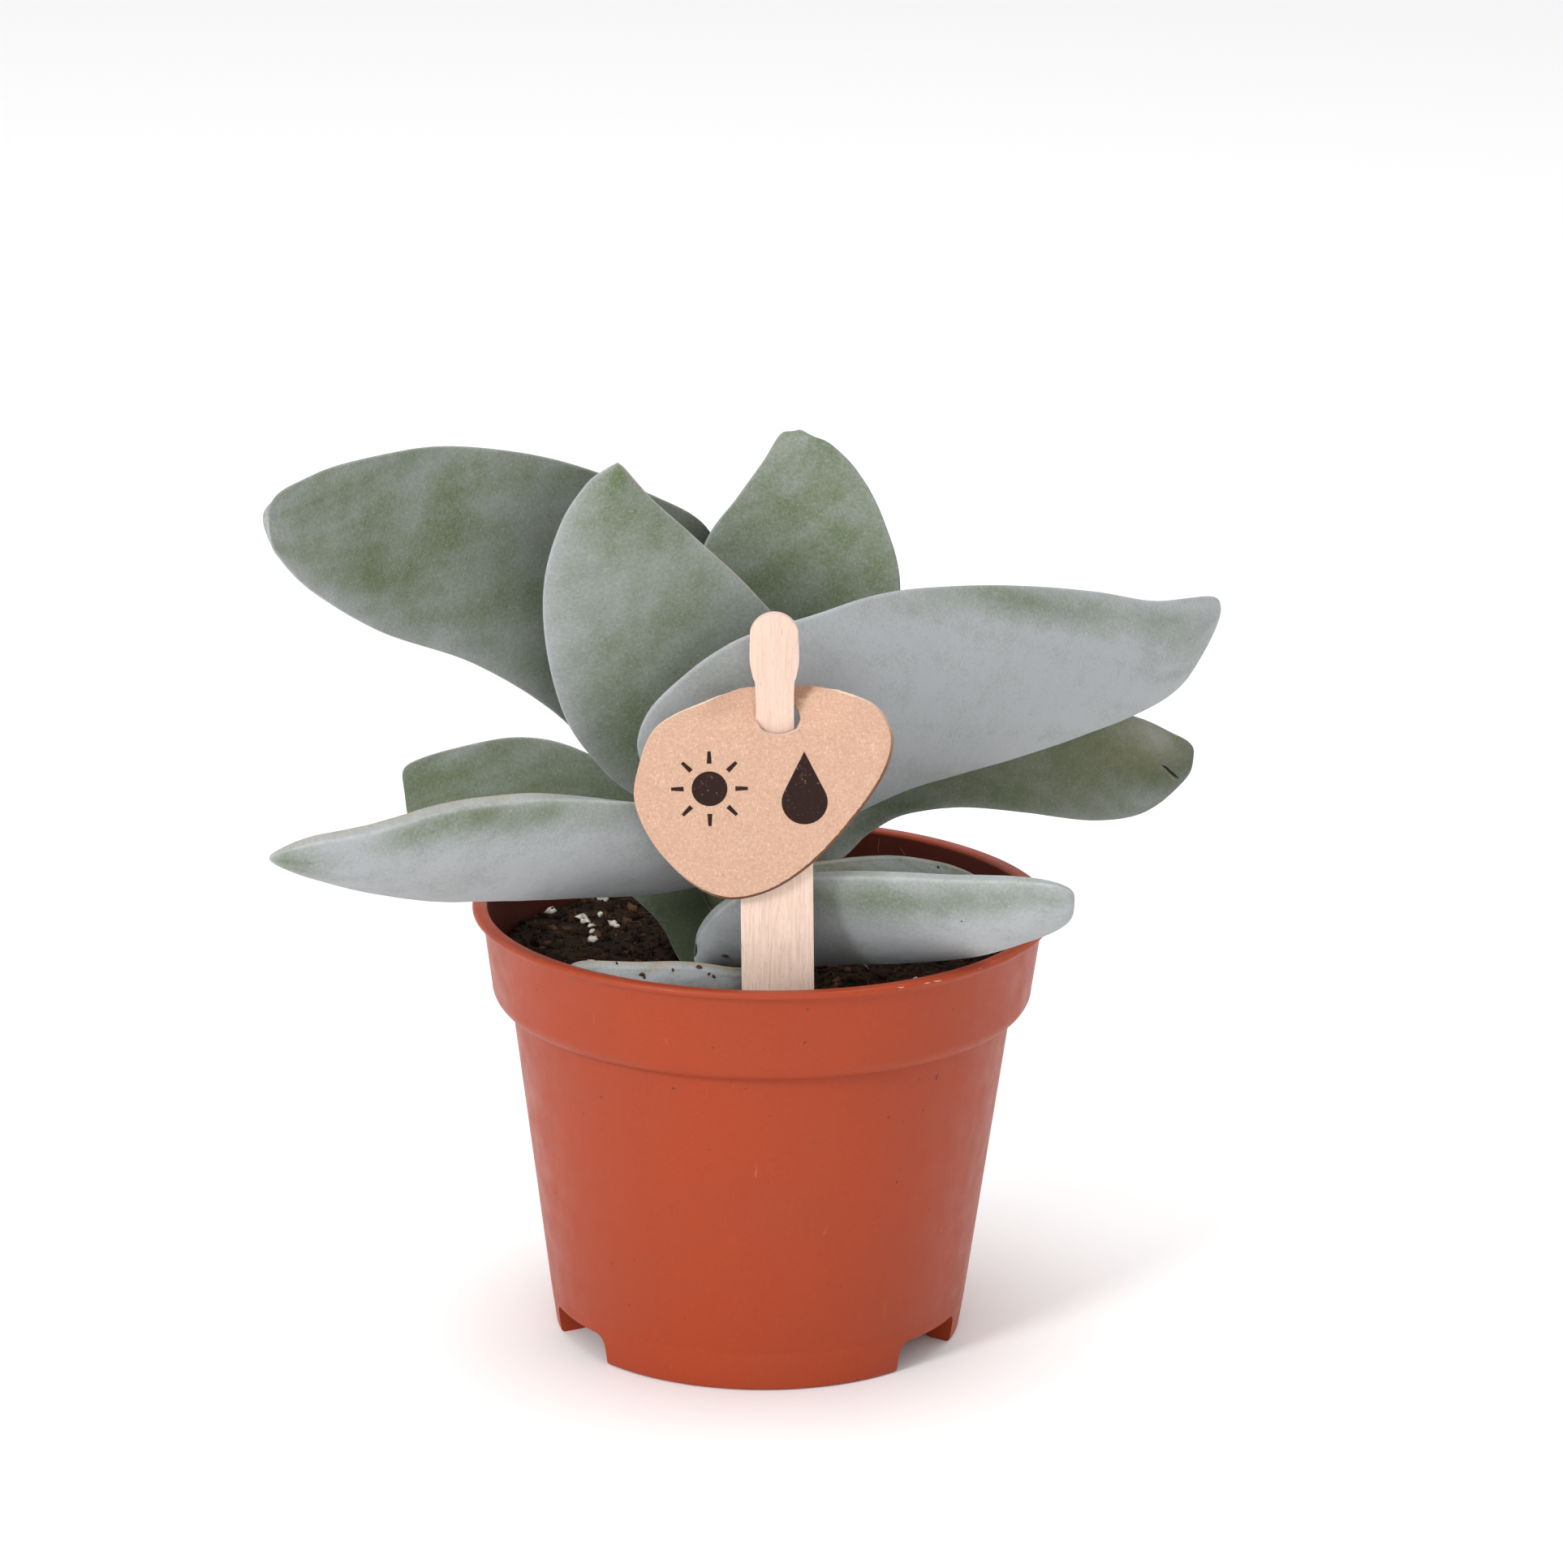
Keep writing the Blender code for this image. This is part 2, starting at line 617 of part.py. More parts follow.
def flat_piece(name, outlines, thickness, home, finish):
    """A flat curve filled between its outlines, as a mesh standing in the XZ plane."""
    curve = bpy.data.curves.new(name, "CURVE")
    curve.dimensions = "2D"
    curve.fill_mode = "BOTH"
    curve.extrude = thickness / 2 * MM
    for outline in outlines:
        spline = curve.splines.new("POLY")
        spline.points.add(len(outline) - 1)
        spline.use_cyclic_u = True
        for point, (x, z) in zip(spline.points, outline):
            point.co = (x * MM, z * MM, 0, 1)
    shape = bpy.data.objects.new(f"{name}_curve", curve)
    home.objects.link(shape)
    bpy.context.view_layer.update()
    seen = shape.evaluated_get(bpy.context.evaluated_depsgraph_get())
    mesh = bpy.data.meshes.new_from_object(seen)
    bpy.data.objects.remove(shape)
    work = bmesh.new()
    work.from_mesh(mesh)
    bmesh.ops.remove_doubles(work, verts=work.verts, dist=1e-5)
    upright = Euler((math.radians(90), 0, 0)).to_matrix()
    bmesh.ops.rotate(work, cent=(0, 0, 0), matrix=upright, verts=work.verts)
    work.to_mesh(mesh)
    work.free()
    return new_object(name, mesh, home, finish)


def lean_with_stick(made):
    """Stands a piece at the stick's place and leans it about the point where it enters the soil."""
    x, y = STICK_PLACE
    made.rotation_euler = Euler((0, STICK_LEAN, 0))
    pivot = Vector((0, 0, SOIL_TOP * MM))
    turn = made.rotation_euler.to_matrix()
    made.location = Vector((x * MM, y * MM, 0)) + pivot - turn @ pivot
    return made


def make_stick(home):
    finish = material("birch", (0.85, 0.68, 0.52), 0.6)
    stick = flat_piece("label_stick", [stick_outline()], STICK_THICKNESS, home, finish)
    bevel = stick.modifiers.new("soft_edges", "BEVEL")
    bevel.width = STICK_EDGE_SOFTENING * MM
    bevel.segments = 1
    bevel.limit_method = "ANGLE"
    bevel.angle_limit = math.radians(50)
    lean_with_stick(stick)
    return stick


def smooth_outline(points, steps):
    """A closed smooth curve through the points."""
    count = len(points)
    vectors = [Vector((x, z)) for x, z in points]
    outline = []
    for index in range(count):
        four = [vectors[(index + offset) % count] for offset in (-1, 0, 1, 2)]
        for step in range(steps):
            place = spline_point(four, 1, step / steps)
            outline.append((place.x, place.y))
    return outline


def slit_outline():
    """The opening that the neck goes through: a smiling lower edge and a straight upper edge."""
    half = TAG_SLIT_WIDTH / 2
    lower = arc((TAG_SLIT_MIDDLE, TAG_SLIT_BOTTOM + half), half, 200, 340, 8)
    return lower + [(TAG_SLIT_MIDDLE + half, TAG_SLIT_TOP), (TAG_SLIT_MIDDLE - half, TAG_SLIT_TOP)]


def eased(value, start, end):
    """A smooth step from 0 at the start to 1 at the end."""
    part = min(max((value - start) / (end - start), 0), 1)
    return part * part * (3 - 2 * part)


def tag_depth(across, height):
    """How far the card is before the lath: in front of it, but for a dent behind the neck."""
    front = STICK_THICKNESS / 2 + TAG_CLEARANCE + TAG_THICKNESS / 2
    hang = TAG_HANG * max(TAG_BEND_BOTTOM - height, 0)
    pressed = eased(height, TAG_BEND_BOTTOM, TAG_BEND_TOP)
    dent = pressed * (1 - eased(abs(across), TAG_DENT_INNER, TAG_DENT_OUTER))
    return front + hang - 2 * front * dent


def make_tag(home):
    """A kraft card that hangs in front of the lath, with its top edge pressed back behind the neck."""
    finish = material("kraft_card", (0.76, 0.48, 0.33), 0.8)
    tag = flat_piece("label_tag", [smooth_outline(TAG_OUTLINE, 3), slit_outline()], 0.0, home, finish)
    work = bmesh.new()
    work.from_mesh(tag.data)
    bmesh.ops.remove_doubles(work, verts=work.verts, dist=1e-5)
    folds = [((0, 0, height), (0, 0, 1)) for height in TAG_FOLD_HEIGHTS]
    folds += [((side * reach, 0, 0), (1, 0, 0)) for reach in TAG_FOLD_REACHES for side in (-1, 1)]
    for place, direction in folds:
        parts = work.verts[:] + work.edges[:] + work.faces[:]
        place = Vector(place) * MM
        bmesh.ops.bisect_plane(work, geom=parts, plane_co=place, plane_no=direction, dist=1e-6)
    bmesh.ops.triangulate(work, faces=work.faces)
    for vertex in work.verts:
        vertex.co.y -= tag_depth(vertex.co.x / MM, vertex.co.z / MM) * MM
    bmesh.ops.recalc_face_normals(work, faces=work.faces)
    work.to_mesh(tag.data)
    work.free()
    thicken = tag.modifiers.new("card_thickness", "SOLIDIFY")
    thicken.thickness = TAG_THICKNESS * MM
    thicken.offset = 0
    lean_with_stick(tag)
    return tag


def main():
    for old in list(bpy.data.objects):
        bpy.data.objects.remove(old)
    home = collection("potted_crassula")
    cutters = collection("cutters")
    make_pot(home, cutters)
    make_soil(home, cutters)
    make_stem(home)
    green = material("waxy_leaf", (0.23, 0.27, 0.20), 0.7)
    for name in LEAVES:
        make_leaf(name, home, green)
    make_stick(home)
    make_tag(home)
    bpy.context.view_layer.update()


main()
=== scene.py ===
# %% [markdown]
# # A potted crassula
# The object is a young succulent with sickle-shaped, wax-bloomed leaves. It grows in a thin plastic
# nursery pot, and a card tag hangs on a wooden label stick in front of it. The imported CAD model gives
# every size and place, so each piece here is made in the same frame, in millimetres times MM, and the
# main pieces stand for the CAD model's nodes.

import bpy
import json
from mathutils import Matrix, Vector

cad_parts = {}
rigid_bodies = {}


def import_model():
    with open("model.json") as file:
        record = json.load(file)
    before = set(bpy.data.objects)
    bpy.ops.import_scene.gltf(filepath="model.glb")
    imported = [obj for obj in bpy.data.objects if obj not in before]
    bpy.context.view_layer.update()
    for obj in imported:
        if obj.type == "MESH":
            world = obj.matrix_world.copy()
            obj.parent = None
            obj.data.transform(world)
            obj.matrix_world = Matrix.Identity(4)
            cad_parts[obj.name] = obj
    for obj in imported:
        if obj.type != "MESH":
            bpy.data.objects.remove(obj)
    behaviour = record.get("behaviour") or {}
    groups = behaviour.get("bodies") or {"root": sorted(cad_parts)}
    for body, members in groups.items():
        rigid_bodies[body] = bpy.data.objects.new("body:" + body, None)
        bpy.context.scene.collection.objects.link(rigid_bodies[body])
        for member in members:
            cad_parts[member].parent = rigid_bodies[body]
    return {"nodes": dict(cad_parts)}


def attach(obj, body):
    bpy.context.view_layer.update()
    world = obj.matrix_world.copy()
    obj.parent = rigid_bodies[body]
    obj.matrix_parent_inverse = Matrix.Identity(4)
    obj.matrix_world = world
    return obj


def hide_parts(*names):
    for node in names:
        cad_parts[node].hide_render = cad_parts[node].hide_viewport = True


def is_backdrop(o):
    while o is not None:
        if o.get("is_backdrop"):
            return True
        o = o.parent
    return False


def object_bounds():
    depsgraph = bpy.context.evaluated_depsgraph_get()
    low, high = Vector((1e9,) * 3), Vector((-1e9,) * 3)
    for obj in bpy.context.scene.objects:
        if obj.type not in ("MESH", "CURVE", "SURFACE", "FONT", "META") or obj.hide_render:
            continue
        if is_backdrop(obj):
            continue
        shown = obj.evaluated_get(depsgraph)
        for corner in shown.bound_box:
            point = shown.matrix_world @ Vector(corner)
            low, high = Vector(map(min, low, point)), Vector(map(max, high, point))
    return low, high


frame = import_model()
cad_low, cad_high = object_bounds()
print("nodes:", sorted(frame["nodes"]))

# %% Tools of the trade
import json
import math
import random
from contextlib import contextmanager

import bmesh
import bpy
from mathutils import Euler, Matrix, Vector, noise
from mathutils.bvhtree import BVHTree

MM = 0.001
BODY = "root"
scene = bpy.context.scene


def plain_mesh(name, work):
    """A mesh from a bmesh, with its faces turned outwards and shaded smooth."""
    bmesh.ops.recalc_face_normals(work, faces=work.faces)
    mesh = bpy.data.meshes.new(name)
    work.to_mesh(mesh)
    work.free()
    mesh.shade_smooth()
    return mesh


def piece(name, mesh):
    """A new object at the origin for a mesh."""
    made = bpy.data.objects.new(name, mesh)
    scene.collection.objects.link(made)
    return made


def flattened(made):
    """The object with its modifiers and its placing made part of a plain mesh."""
    bpy.context.view_layer.update()
    seen = made.evaluated_get(bpy.context.evaluated_depsgraph_get())
    mesh = bpy.data.meshes.new_from_object(seen)
    mesh.transform(made.matrix_world)
    name = made.name
    bpy.data.objects.remove(made)
    return piece(name, mesh)


@contextmanager
def editing(mesh):
    """A bmesh of a mesh, written back when the block ends."""
    work = bmesh.new()
    work.from_mesh(mesh)
    yield work
    work.to_mesh(mesh)
    work.free()


def shaded(made, degrees):
    """Smooth shading, except on edges that turn by more than an angle."""
    made.data.shade_smooth()
    made.data.set_sharp_from_angle(angle=math.radians(degrees))


def belongs(made, slot, *nodes, finish=None):
    """Says that a piece rides on the body, which record slot it takes and which nodes it stands for."""
    if finish:
        made.data.materials.clear()
        made.data.materials.append(finish)
    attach(made, BODY)
    for node in nodes:
        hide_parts(node)
    print(f"{made.name}: {len(made.data.polygons)} faces in slot {slot}")


# %% [markdown]
# ## The camera
# The photograph was taken with a long lens from a little above the rim. The values come from fitting a
# camera to the pot's rim, step and base, so a point of the frame falls on its own pixel. A camera's
# matrix holds its right, up and backward directions as columns, which is easier to get right than
# three Euler angles.

# %% Camera at the photograph's viewing angle
PHOTO_WIDTH = 1926
PHOTO_HEIGHT = 1932
FOCAL_PIXELS = 8211
SENSOR = 36.0
CAMERA_DISTANCE = 1148.2
CAMERA_HEIGHT = 445.5
CAMERA_PITCH = 0.2904
CAMERA_YAW = 0.0027
CAMERA_ROLL = 0.0132

level_right = Vector((math.cos(CAMERA_YAW), -math.sin(CAMERA_YAW), 0))
sight = Vector((
    math.sin(CAMERA_YAW) * math.cos(CAMERA_PITCH),
    math.cos(CAMERA_YAW) * math.cos(CAMERA_PITCH),
    -math.sin(CAMERA_PITCH),
))
level_up = level_right.cross(sight)
camera_right = level_right * math.cos(CAMERA_ROLL) + level_up * math.sin(CAMERA_ROLL)
camera_up = level_up * math.cos(CAMERA_ROLL) - level_right * math.sin(CAMERA_ROLL)
camera_place = Vector((0, -CAMERA_DISTANCE, CAMERA_HEIGHT)) * MM

camera_data = bpy.data.cameras.new("photo_camera")
camera_data.sensor_width = SENSOR
camera_data.lens = FOCAL_PIXELS * SENSOR / PHOTO_HEIGHT
camera = bpy.data.objects.new("photo_camera", camera_data)
scene.collection.objects.link(camera)
turn = Matrix((camera_right, camera_up, -sight)).transposed()
camera.matrix_world = Matrix.Translation(camera_place) @ turn.to_4x4()
scene.camera = camera
print("lens", round(camera_data.lens, 1), "mm")


def sight_line(pixel):
    """The direction from the camera through a pixel of the photograph."""
    across = pixel[0] - PHOTO_WIDTH / 2
    down = pixel[1] - PHOTO_HEIGHT / 2
    return (sight * FOCAL_PIXELS + camera_right * across - camera_up * down).normalized()


# %% [markdown]
# ## Floor and light
# The object stands in a white studio. A white world gives the even fill and the pale sheen on the
# pot's sides. A small area light at the front left gives the soft shadow that the label stick throws
# on the card, a wide low one in front fills the undersides of the leaves, and a broad one overhead
# lifts their upper faces.

# %% White floor, white world and three soft lights
FLOOR_SIZE = 8.0
WORLD_STRENGTH = 0.82
LIGHT_TARGET = Vector((0, 0, 0.09))
LIGHTS = {
    "key": (Vector((-1.00, -1.20, 0.90)), 0.40, 15.0),
    "front_fill": (Vector((0.35, -1.7, 0.35)), 0.8, 4.5),
    "top_soft": (Vector((0.0, 0.1, 1.5)), 1.2, 9.0),
}

scene.view_settings.view_transform = "Standard"
scene.view_settings.look = "None"

world = bpy.data.worlds.new("white_studio")
world.use_nodes = True
world.node_tree.nodes["Background"].inputs["Color"].default_value = (1, 1, 1, 1)
world.node_tree.nodes["Background"].inputs["Strength"].default_value = WORLD_STRENGTH
scene.world = world

for light_name, (light_place, light_size, light_power) in LIGHTS.items():
    light_data = bpy.data.lights.new(light_name, "AREA")
    light_data.shape = "DISK"
    light_data.size = light_size
    light_data.energy = light_power
    light = bpy.data.objects.new(light_name, light_data)
    light.location = light_place
    light.rotation_euler = (LIGHT_TARGET - light_place).to_track_quat("-Z", "Y").to_euler()
    scene.collection.objects.link(light)

floor_work = bmesh.new()
bmesh.ops.create_grid(floor_work, x_segments=1, y_segments=1, size=FLOOR_SIZE / 2)
floor = piece("floor", plain_mesh("floor", floor_work))
floor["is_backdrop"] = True

# %% [markdown]
# ## Building shaders
# Every finish is a small tree of nodes. One helper adds a node, and a Finish then reads as a list of
# what the eye sees: a colour, the tones that lie over it, and heights for the bump. Sizes are given in
# millimetres, and a texture's scale is a thousand divided by them, because Object coordinates are in
# metres.


# %% One node
def add_node(tree, kind, inputs=None, **settings):
    """A node with its settings made and its inputs set or linked."""
    made = tree.nodes.new(kind)
    for setting, value in settings.items():
        setattr(made, setting, value)
    for socket, value in (inputs or {}).items():
        if isinstance(value, bpy.types.NodeSocket):
            tree.links.new(value, made.inputs[socket])
        else:
            made.inputs[socket].default_value = value
    return made


# %% A finish
class Finish:
    """A Principled material, with its constants set on the shader's own sockets."""

    def __init__(self, name, roughness, **constants):
        self.material = bpy.data.materials.new(name)
        self.material.use_nodes = True
        self.tree = self.material.node_tree
        self.shader = self.tree.nodes["Principled BSDF"]
        self.place = add_node(self.tree, "ShaderNodeTexCoord").outputs["Object"]
        for socket, value in {"Roughness": roughness, **constants}.items():
            self.shader.inputs[socket.replace("_", " ")].default_value = value

    def mottle(self, size, detail=3.0, roughness=0.55, stretch=None):
        """Cloudy noise with blotches of about a size in millimetres, drawn into a grain by a stretch."""
        place = self.place
        if stretch:
            place = add_node(self.tree, "ShaderNodeMapping", {"Vector": place, "Scale": stretch}).outputs[0]
        sockets = {"Vector": place, "Scale": 1000 / size, "Detail": detail, "Roughness": roughness}
        return add_node(self.tree, "ShaderNodeTexNoise", sockets).outputs["Fac"]

    def reading(self, name):
        """A number stored on the mesh."""
        return add_node(self.tree, "ShaderNodeAttribute", attribute_name=name).outputs["Fac"]

    def rescale(self, value, low, high, new_low=0.0, new_high=1.0):
        """Maps a range of values onto another, and holds it there."""
        ends = {"From Min": low, "From Max": high, "To Min": new_low, "To Max": new_high}
        return add_node(self.tree, "ShaderNodeMapRange", {"Value": value, **ends}).outputs["Result"]

    def combine(self, operation, first, second):
        """The sum, product or power of two numbers."""
        return add_node(self.tree, "ShaderNodeMath", {0: first, 1: second}, operation=operation).outputs[0]

    def mix(self, share, first, second):
        """Two colours mixed by a share from 0 to 1."""
        sockets = {0: share, 6: first, 7: second}
        for index in (6, 7):
            if not isinstance(sockets[index], bpy.types.NodeSocket):
                sockets[index] = (*sockets[index], 1.0)
        return add_node(self.tree, "ShaderNodeMix", sockets, data_type="RGBA").outputs[2]

    def over(self, colour, tone, value, low, high, amount=1.0):
        """A tone laid over a colour where a value is high, as far as an amount."""
        return self.mix(self.rescale(value, low, high, 0.0, amount), colour, tone)

    def painted(self, colour, *layers):
        """Joins the colour, and bumps of (height, depth in millimetres), and gives the material."""
        self.tree.links.new(colour, self.shader.inputs["Base Color"])
        under = {}
        for height, depth in layers:
            sockets = {"Height": height, "Distance": depth * MM, "Strength": 1.0, **under}
            under = {"Normal": add_node(self.tree, "ShaderNodeBump", sockets).outputs["Normal"]}
        for socket, normal in under.items():
            self.tree.links.new(normal, self.shader.inputs[socket])
        return self.material


floor.data.materials.append(Finish("pale_floor", 0.9, Base_Color=(0.93, 0.93, 0.93, 1)).material)

# %% [markdown]
# ## The pot
# A nursery pot is moulded thin from terracotta-coloured plastic: a rolled lip, a straight collar that
# lets a stack of pots nest, a tapered body, and a foot ring cut by notches so that water runs out. All
# of that is one profile turned round the axis, so a Screw modifier makes it, and Booleans cut the
# notches, the hollow feet and the drain holes.
# %% Pot sizes, in millimetres
POT_HEIGHT = 80.0
LIP_RADIUS = 52.5
LIP_THICKNESS = 1.3
LIP_BEVEL = 0.8
LIP_FILLET = 1.1
COLLAR_TOP_RADIUS = 50.6
COLLAR_LOW_RADIUS = 48.9
COLLAR_HEIGHT = 18.1
COLLAR_ROUNDING = 3.5
COLLAR_TURN = -84
CREASE = 0.1
BODY_TOP_RADIUS = 45.4
BASE_RADIUS = 37.05
GROOVE_DEPTH = 0.2
GROOVE_HEIGHT = 1.2
WALL = 0.9
INNER_STEP = 4.4
INNER_STEP_CURVE = 0.8
FLOOR_UNDERSIDE = 7.0
FLOOR_TOP = 8.0
FLOOR_LINE_DEPTH = 0.1
FOOT_RING_WIDTH = 4.8
FOOT_ROUNDING = 0.9
FOOT_SOLE = 1.2
POT_STEPS = 180
HOLLOW_STEPS = 90
POT_SHARP_ANGLE = 38
NOTCH_ANGLES = (-61.2, 57.2, 178.0)
NOTCH_WIDTH = 18.2
NOTCH_HEIGHT = 5.8
NOTCH_CORNER = 2.2
DRAIN_HOLES = 6
DRAIN_HOLE_RADIUS = 3.0
DRAIN_HOLE_CIRCLE = 24.0
COLLAR_BOTTOM = POT_HEIGHT - COLLAR_HEIGHT


# %% The pot's profile
def arc(centre, radius, start, end, steps):
    """Points on an arc, from one angle to the other, in degrees."""
    angles = [math.radians(start + (end - start) * step / steps) for step in range(steps + 1)]
    return [(centre[0] + radius * math.cos(a), centre[1] + radius * math.sin(a)) for a in angles]


def body_radius(height):
    """The outer radius of the tapered body below the collar."""
    return BASE_RADIUS + (BODY_TOP_RADIUS - BASE_RADIUS) * height / COLLAR_BOTTOM


def inner_wall(inset):
    """The inner wall from the floor up into the collar, moved inwards by the inset."""
    body = BODY_TOP_RADIUS - WALL - inset
    collar = COLLAR_LOW_RADIUS - WALL - inset
    return [
        (body_radius(FLOOR_TOP) - WALL - inset, FLOOR_TOP),
        (body, COLLAR_BOTTOM + INNER_STEP * 0.1),
        (body + INNER_STEP_CURVE, COLLAR_BOTTOM + INNER_STEP * 0.3),
        (collar - INNER_STEP_CURVE, COLLAR_BOTTOM + INNER_STEP * 0.6),
        (collar, COLLAR_BOTTOM + INNER_STEP),
    ]


def pot_profile():
    """Up the inner wall, over the lip, down the outer wall and under the floor."""
    inner_lip = COLLAR_TOP_RADIUS - WALL
    lip_edge = LIP_THICKNESS / 2
    lip_underside = POT_HEIGHT - LIP_THICKNESS
    foot_inner = BASE_RADIUS - FOOT_RING_WIDTH
    profile = [(0, FLOOR_TOP)] + inner_wall(0)
    profile += arc((inner_lip + LIP_BEVEL, POT_HEIGHT - LIP_BEVEL), LIP_BEVEL, 180, 90, 5)
    profile += arc((LIP_RADIUS - lip_edge, POT_HEIGHT - lip_edge), lip_edge, 90, -90, 10)
    fillet = (COLLAR_TOP_RADIUS + LIP_FILLET, lip_underside - LIP_FILLET)
    profile += arc(fillet, LIP_FILLET, 90, 180, 3)
    collar_turn = (COLLAR_LOW_RADIUS - COLLAR_ROUNDING, COLLAR_BOTTOM + COLLAR_ROUNDING)
    profile += arc(collar_turn, COLLAR_ROUNDING, 0, COLLAR_TURN, 9)
    profile += [
        (BODY_TOP_RADIUS + CREASE, COLLAR_BOTTOM),
        (BODY_TOP_RADIUS - CREASE, COLLAR_BOTTOM - 2 * CREASE),
        (BODY_TOP_RADIUS - GROOVE_DEPTH, COLLAR_BOTTOM - GROOVE_HEIGHT),
    ]
    floor_line = (FLOOR_TOP + FLOOR_UNDERSIDE) / 2
    profile += [
        (body_radius(FLOOR_TOP), FLOOR_TOP),
        (body_radius(floor_line) - FLOOR_LINE_DEPTH, floor_line),
        (body_radius(FLOOR_UNDERSIDE), FLOOR_UNDERSIDE),
    ]
    profile += arc((BASE_RADIUS - FOOT_ROUNDING, FOOT_ROUNDING), FOOT_ROUNDING, 0, -90, 6)
    profile += arc((foot_inner + FOOT_ROUNDING, FOOT_ROUNDING), FOOT_ROUNDING, -90, -180, 4)
    profile += [(foot_inner, FLOOR_UNDERSIDE), (0, FLOOR_UNDERSIDE)]
    return profile


# %% Turning and cutting
def turned(name, profile, steps):
    """A body of revolution from a profile that runs down its outer side."""
    work = bmesh.new()
    points = [work.verts.new((radius * MM, 0, height * MM)) for radius, height in profile]
    for first, second in zip(points, points[1:]):
        work.edges.new((first, second))
    mesh = bpy.data.meshes.new(name)
    work.to_mesh(mesh)
    work.free()
    made = piece(name, mesh)
    screw = made.modifiers.new("turn", "SCREW")
    screw.steps = steps
    screw.render_steps = steps
    screw.use_merge_vertices = True
    screw.merge_threshold = 1e-5
    return made


def cut(made, cutter):
    """A Boolean difference."""
    change = made.modifiers.new(cutter.name, "BOOLEAN")
    change.operation = "DIFFERENCE"
    change.solver = "EXACT"
    change.object = cutter


def rim_direction(degrees):
    """The horizontal direction at an angle from the front, positive to the right."""
    angle = math.radians(degrees)
    return Vector((math.sin(angle), -math.cos(angle), 0))


def foot_block(name, margin, height, degrees, corner):
    """A block across the foot ring, with its two upper edges rounded."""
    work = bmesh.new()
    bmesh.ops.create_cube(work, size=1.0)
    size = (NOTCH_WIDTH + 2 * margin, 2 * FOOT_RING_WIDTH, 2 * height)
    bmesh.ops.scale(work, vec=[side * MM for side in size], verts=work.verts)
    upper = [
        edge for edge in work.edges
        if min(end.co.z for end in edge.verts) > 0 and abs(edge.verts[0].co.x - edge.verts[1].co.x) < 1e-9
    ]
    if corner:
        bmesh.ops.bevel(work, geom=upper, offset=corner * MM, segments=6, profile=0.5, affect="EDGES")
    made = piece(name, plain_mesh(name, work))
    made.rotation_euler = Euler((0, 0, math.radians(degrees)))
    made.location = rim_direction(degrees) * (BASE_RADIUS - FOOT_RING_WIDTH / 2) * MM
    return made


def drain_hole(number):
    """A cutter for one of the holes round the floor."""
    work = bmesh.new()
    ends = {"radius1": DRAIN_HOLE_RADIUS * MM, "radius2": DRAIN_HOLE_RADIUS * MM, "depth": FLOOR_TOP * MM}
    bmesh.ops.create_cone(work, cap_ends=True, segments=32, **ends)
    hole = piece("drain_hole", plain_mesh("drain_hole", work))
    place = rim_direction(NOTCH_ANGLES[0] + 360 * number / DRAIN_HOLES) * DRAIN_HOLE_CIRCLE
    hole.location = (place + Vector((0, 0, FLOOR_TOP))) * MM
    return hole


# %% The pot's mesh
def make_pot():
    pot = turned("pot_shell", pot_profile(), POT_STEPS)
    notches = [foot_block("notch", 0, NOTCH_HEIGHT, degrees, NOTCH_CORNER) for degrees in NOTCH_ANGLES]
    webs = [foot_block("web", WALL, 2 * FLOOR_TOP, degrees, 0) for degrees in NOTCH_ANGLES]
    inner = BASE_RADIUS - FOOT_RING_WIDTH + WALL
    outer = BASE_RADIUS - WALL
    top = FLOOR_TOP + WALL
    corners = [(inner, top), (outer, top), (outer, FOOT_SOLE), (inner, FOOT_SOLE), (inner, top)]
    hollow = turned("hollow", corners, HOLLOW_STEPS)
    for web in webs:
        cut(hollow, web)
    cutters = notches + [flattened(hollow)] + [drain_hole(number) for number in range(DRAIN_HOLES)]
    for cutter in cutters:
        cut(pot, cutter)
    pot = flattened(pot)
    for used in cutters + webs:
        bpy.data.objects.remove(used)
    shaded(pot, POT_SHARP_ANGLE)
    return pot


pot = make_pot()

# %% [markdown]
# ## The pot's finish
# Moulded polypropylene is satin, with a faint orange-peel skin. Dust and handling give it slow changes
# of tone, a few pale scuffs and dark specks of peat, most of them near the lip where hands and soil
# touch it. All of that is noise of different sizes on Object coordinates.

# %% Where the inner wall is painted dark, as shade and dust
INNER_SHADE_TOP = 0.4
INNER_SHADE_FADE = 0.5


def store(mesh, name, rule):
    """Stores a number on each point of a mesh, worked out from the point's place."""
    values = mesh.attributes.new(name, "FLOAT", "POINT")
    values.data.foreach_set("value", [rule(vertex.co) for vertex in mesh.vertices])


def inner_radius(height):
    """The radius of the inner wall at a height."""
    wall = inner_wall(0)
    for (low_radius, low), (high_radius, high) in zip(wall, wall[1:]):
        if height <= high:
            return low_radius + (high_radius - low_radius) * max(height - low, 0) / (high - low)
    return COLLAR_TOP_RADIUS - WALL


def inside_share(place):
    """1 on the inner wall, which is painted darker as shade and as clinging dust and peat, and 0 on the lip
    and outside.
    """
    beyond_wall = math.hypot(place.x, place.y) > inner_radius(place.z) + WALL / 3
    if beyond_wall or place.z < (FLOOR_UNDERSIDE + FLOOR_TOP) / 2:
        return 0.0
    return min(max((POT_HEIGHT - INNER_SHADE_TOP - place.z) / INNER_SHADE_FADE, 0.0), 1.0)


store(pot.data, "inside", lambda place: inside_share(place / MM))

# %% Terracotta-coloured plastic
POT_ORANGE = (0.325, 0.0405, 0.0085)
POT_DULL = (0.285, 0.044, 0.013)
POT_DEEP = (0.22, 0.024, 0.005)
POT_SCUFF = (0.50, 0.16, 0.09)
PEAT_STAIN = (0.07, 0.016, 0.008)
INSIDE_SHADE_AND_DUST = (0.038, 0.0060, 0.0040)


